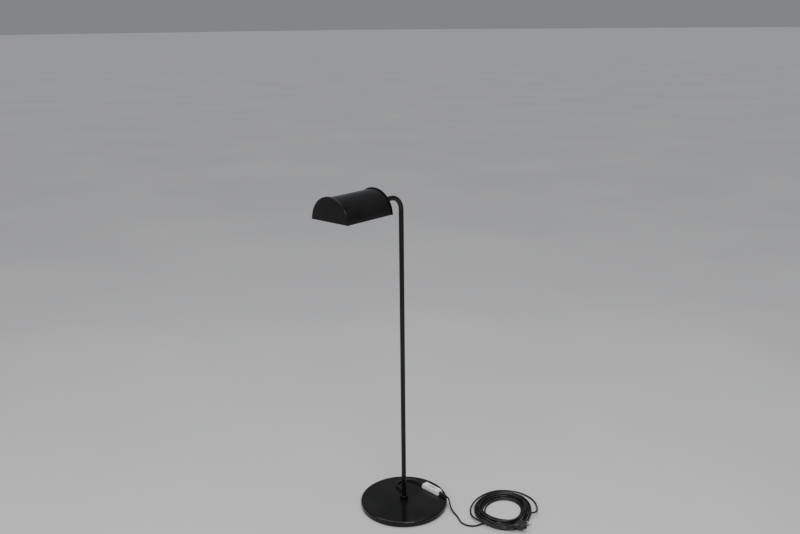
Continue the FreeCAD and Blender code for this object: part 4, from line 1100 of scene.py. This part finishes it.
def nut_ring(along, corner):
    """The nut's outline, its corners turned down to this far past its flats."""
    largest = NUT_FLATS / 2 + corner
    ring = []
    for _, y, z in hexagon(along, NUT_FLATS, NUT_POINTS):
        shrink = min(1, largest / math.hypot(y, z))
        ring.append((along, y * shrink, z * shrink))
    return ring


def make_pivot_nut():
    start, end = arm_span("pivot_nut")
    rings = [
        nut_ring(start, NUT_END_CORNER),
        nut_ring(start + NUT_CHAMFER, NUT_CORNER),
        nut_ring(end - NUT_CHAMFER, NUT_CORNER),
        nut_ring(end, NUT_END_CORNER),
        ring_round(end, NUT_MOUTH, NUT_POINTS),
        ring_round(end - 0.5, NUT_BORE, NUT_POINTS),
        ring_round(start + 0.5, NUT_BORE, NUT_POINTS),
        ring_round(start, NUT_MOUTH, NUT_POINTS),
    ]
    add_mesh("lock_nut", *loft(rings, wrap=True), ALONG_ARM, "stem", "zinc_screws", "pivot_nut",
             sharp=25)


# The lamp holder from the arm outwards, as distance from its start and radius in mm: its cap, the
# knurled band (with the knurl's depth in place of the radius), the parting groove, the thread (its
# shape as share of the pitch and lift) and the ring after it.
HOLDER_POINTS = 216
HOLDER_CAP = [
    (0, 5.3),
    (0, 12.4),
    (0.5, 13),
    (1.6, 14.2),
    (5, 16.4),
    (8.5, 17.6),
    (10, 18.1),
]
HOLDER_BAND = 19.0
HOLDER_KNURL = [(10.8, 0.0), (11.4, 0.6), (24.2, 0.6), (24.8, 0.0)]
KNURL_RIDGES = 36
HOLDER_PARTING = [(25.2, 18.1), (26.0, 18.1), (26.4, 18.7)]
HOLDER_THREAD_START = 27.2
HOLDER_THREAD_TURNS = 5
HOLDER_THREAD_PITCH = 2.0
HOLDER_THREAD_ROOT = 18.3
HOLDER_THREAD_SHAPE = [(0, 0), (0.25, 0.28), (0.5, 0.28), (0.75, 0)]
HOLDER_RING = [(38.4, 18.3), (38.8, 19.0)]
# Its mouth, as distance from its end, and its bore, as distance from its start.
HOLDER_MOUTH = [(-1, 19.0), (-0.2, 18.6), (0, 18.0), (0, 15.0), (-0.5, 14.5)]
HOLDER_BORE = [(21.5, 14.5), (21.5, 12.0), (11.0, 12.0), (11.0, 5.3)]


def knurl(depth):
    """How far fine grooves of this depth draw the radius in at an angle."""
    return lambda angle: -depth * (0.5 + 0.5 * math.cos(KNURL_RIDGES * angle)) ** 3


def make_holder():
    """Phenolic lamp holder: cap, knurled band, parting groove, threaded skirt with its ring."""
    start, end = arm_span("lamp_holder")
    length = end - start
    profile = HOLDER_CAP + [(along, HOLDER_BAND, depth) for along, depth in HOLDER_KNURL]
    profile += HOLDER_PARTING
    for turn in range(HOLDER_THREAD_TURNS):
        for step, lift in HOLDER_THREAD_SHAPE:
            along = HOLDER_THREAD_START + (turn + step) * HOLDER_THREAD_PITCH
            profile.append((along, HOLDER_THREAD_ROOT + lift))
    profile += HOLDER_RING
    profile += [(length + back, radius) for back, radius in HOLDER_MOUTH]
    profile += HOLDER_BORE
    rings = [ring_round(start + along, radius, HOLDER_POINTS, *[knurl(depth) for depth in rest])
             for along, radius, *rest in profile]
    add_mesh("holder_shell", *loft(rings, wrap=True), ALONG_ARM, "stem", "phenolic", "lamp_holder",
             sharp=35)


# The bulb's cap: its insulator and contact as distance from its start and radius, the thread, and
# its rim as distance from its end and radius.
CAP_POINTS = 96
CAP_CONTACT = [(0, 3.6), (0.8, 4.4), (1.0, 6.2), (2.6, 10.8), (3.0, 11.4)]
CAP_THREAD_START = 3.4
CAP_THREAD_END = 2.6
CAP_THREAD_STEPS = 44
CAP_THREAD_FADE = 4
CAP_THREAD_RADIUS = 12.45
CAP_PITCH = 3.6
CAP_DEPTH = 0.75
CAP_RIM = [(2.2, 12.5), (1.4, 13.1), (0.2, 13.1), (0, 12.7)]


def make_bulb_cap():
    """Screw cap with its rolled thread, insulator and contact."""
    start, end = arm_span("bulb_cap")
    first = start + CAP_THREAD_START
    last = end - CAP_THREAD_END
    rings = [ring_round(start + along, radius, CAP_POINTS) for along, radius in CAP_CONTACT]
    for step in range(CAP_THREAD_STEPS + 1):
        along = first + (last - first) * step / CAP_THREAD_STEPS
        fade = min(1, step / CAP_THREAD_FADE, (CAP_THREAD_STEPS - step) / CAP_THREAD_FADE)
        rings.append(ring_round(
            along, CAP_THREAD_RADIUS, CAP_POINTS,
            lambda angle: CAP_DEPTH * fade * math.cos(math.tau * along / CAP_PITCH - angle)))
    rings += [ring_round(end - back, radius, CAP_POINTS) for back, radius in CAP_RIM]
    add_mesh("cap_thread", *loft(rings), ALONG_ARM, "stem", "brass", "bulb_cap", sharp=60)


# --- stage ------------------------------------------------------------------------------------

FLOOR_REACH = 250
# How far the floor lies below the felt, so that the two faces don't coincide.
FLOOR_DROP = 0.2 * MM
SKY_COLOUR = (0.82, 0.84, 0.87, 1)
SKY_STRENGTH = 0.28
SUN_POWER = 1.15
SUN_SPREAD = 50
SUN_PLACE = (0.4, 0.5, 3.0)
# Name, place, the point aimed at, edge length and power of the studio's soft boxes.
AREA_LIGHTS = [
    ("key", (-1.55, -2.3, 2.9), (0, 0, 0.6), 1.3, 75),
    ("top", (-0.2, 0.5, 2.9), (-0.2, 0, 1.0), 2.0, 16),
    ("side", (-2.6, 1.4, 1.9), (0, 0, 0.6), 1.2, 12),
]


def add_light(data, place, aim):
    light = bpy.data.objects.new(data.name, data)
    bpy.context.scene.collection.objects.link(light)
    light.location = place
    light.rotation_mode = "QUATERNION"
    light.rotation_quaternion = (Vector(aim) - Vector(place)).to_track_quat("-Z", "Y")


def make_floor():
    mesh = bpy.data.meshes.new("studio_floor")
    corners = [(-x * FLOOR_REACH, -y * FLOOR_REACH, 0) for x, y in QUARTERS]
    mesh.from_pydata(corners, [], [(0, 1, 2, 3)])
    floor = bpy.data.objects.new("studio_floor", mesh)
    bpy.context.scene.collection.objects.link(floor)
    floor.location.z = -FLOOR_DROP
    pale = (Surface("studio_floor", (0.56, 0.56, 0.57), 0.75)
            .patches((0.60, 0.60, 0.605), 0.8).relief(60.0, 0.0002).done())
    floor.data.materials.append(pale)


def make_lights():
    world = bpy.data.worlds.new("studio")
    bpy.context.scene.world = world
    world.use_nodes = True
    sky = world.node_tree.nodes["Background"]
    sky.inputs["Color"].default_value = SKY_COLOUR
    sky.inputs["Strength"].default_value = SKY_STRENGTH
    sun = bpy.data.lights.new("overhead", "SUN")
    sun.energy = SUN_POWER
    sun.angle = math.radians(SUN_SPREAD)
    add_light(sun, SUN_PLACE, (0, 0, 0))
    for name, place, aim, size, power in AREA_LIGHTS:
        data = bpy.data.lights.new(name, "AREA")
        data.size = size
        data.energy = power
        add_light(data, place, aim)


def paint_nodes():
    """Give every carried-over CAD node the material of its slot."""
    for part in record["subparts"]:
        mesh = nodes[part["node"]].data
        mesh.materials.clear()
        mesh.materials.append(MATERIALS[part["material_slot"]])


make_camera()
paint_nodes()
make_dimmer()
make_dimmer_boots()
make_plug()
make_gland()
make_screws()
make_pivot_nut()
make_holder()
make_bulb_cap()
make_cords()
make_floor()
make_lights()
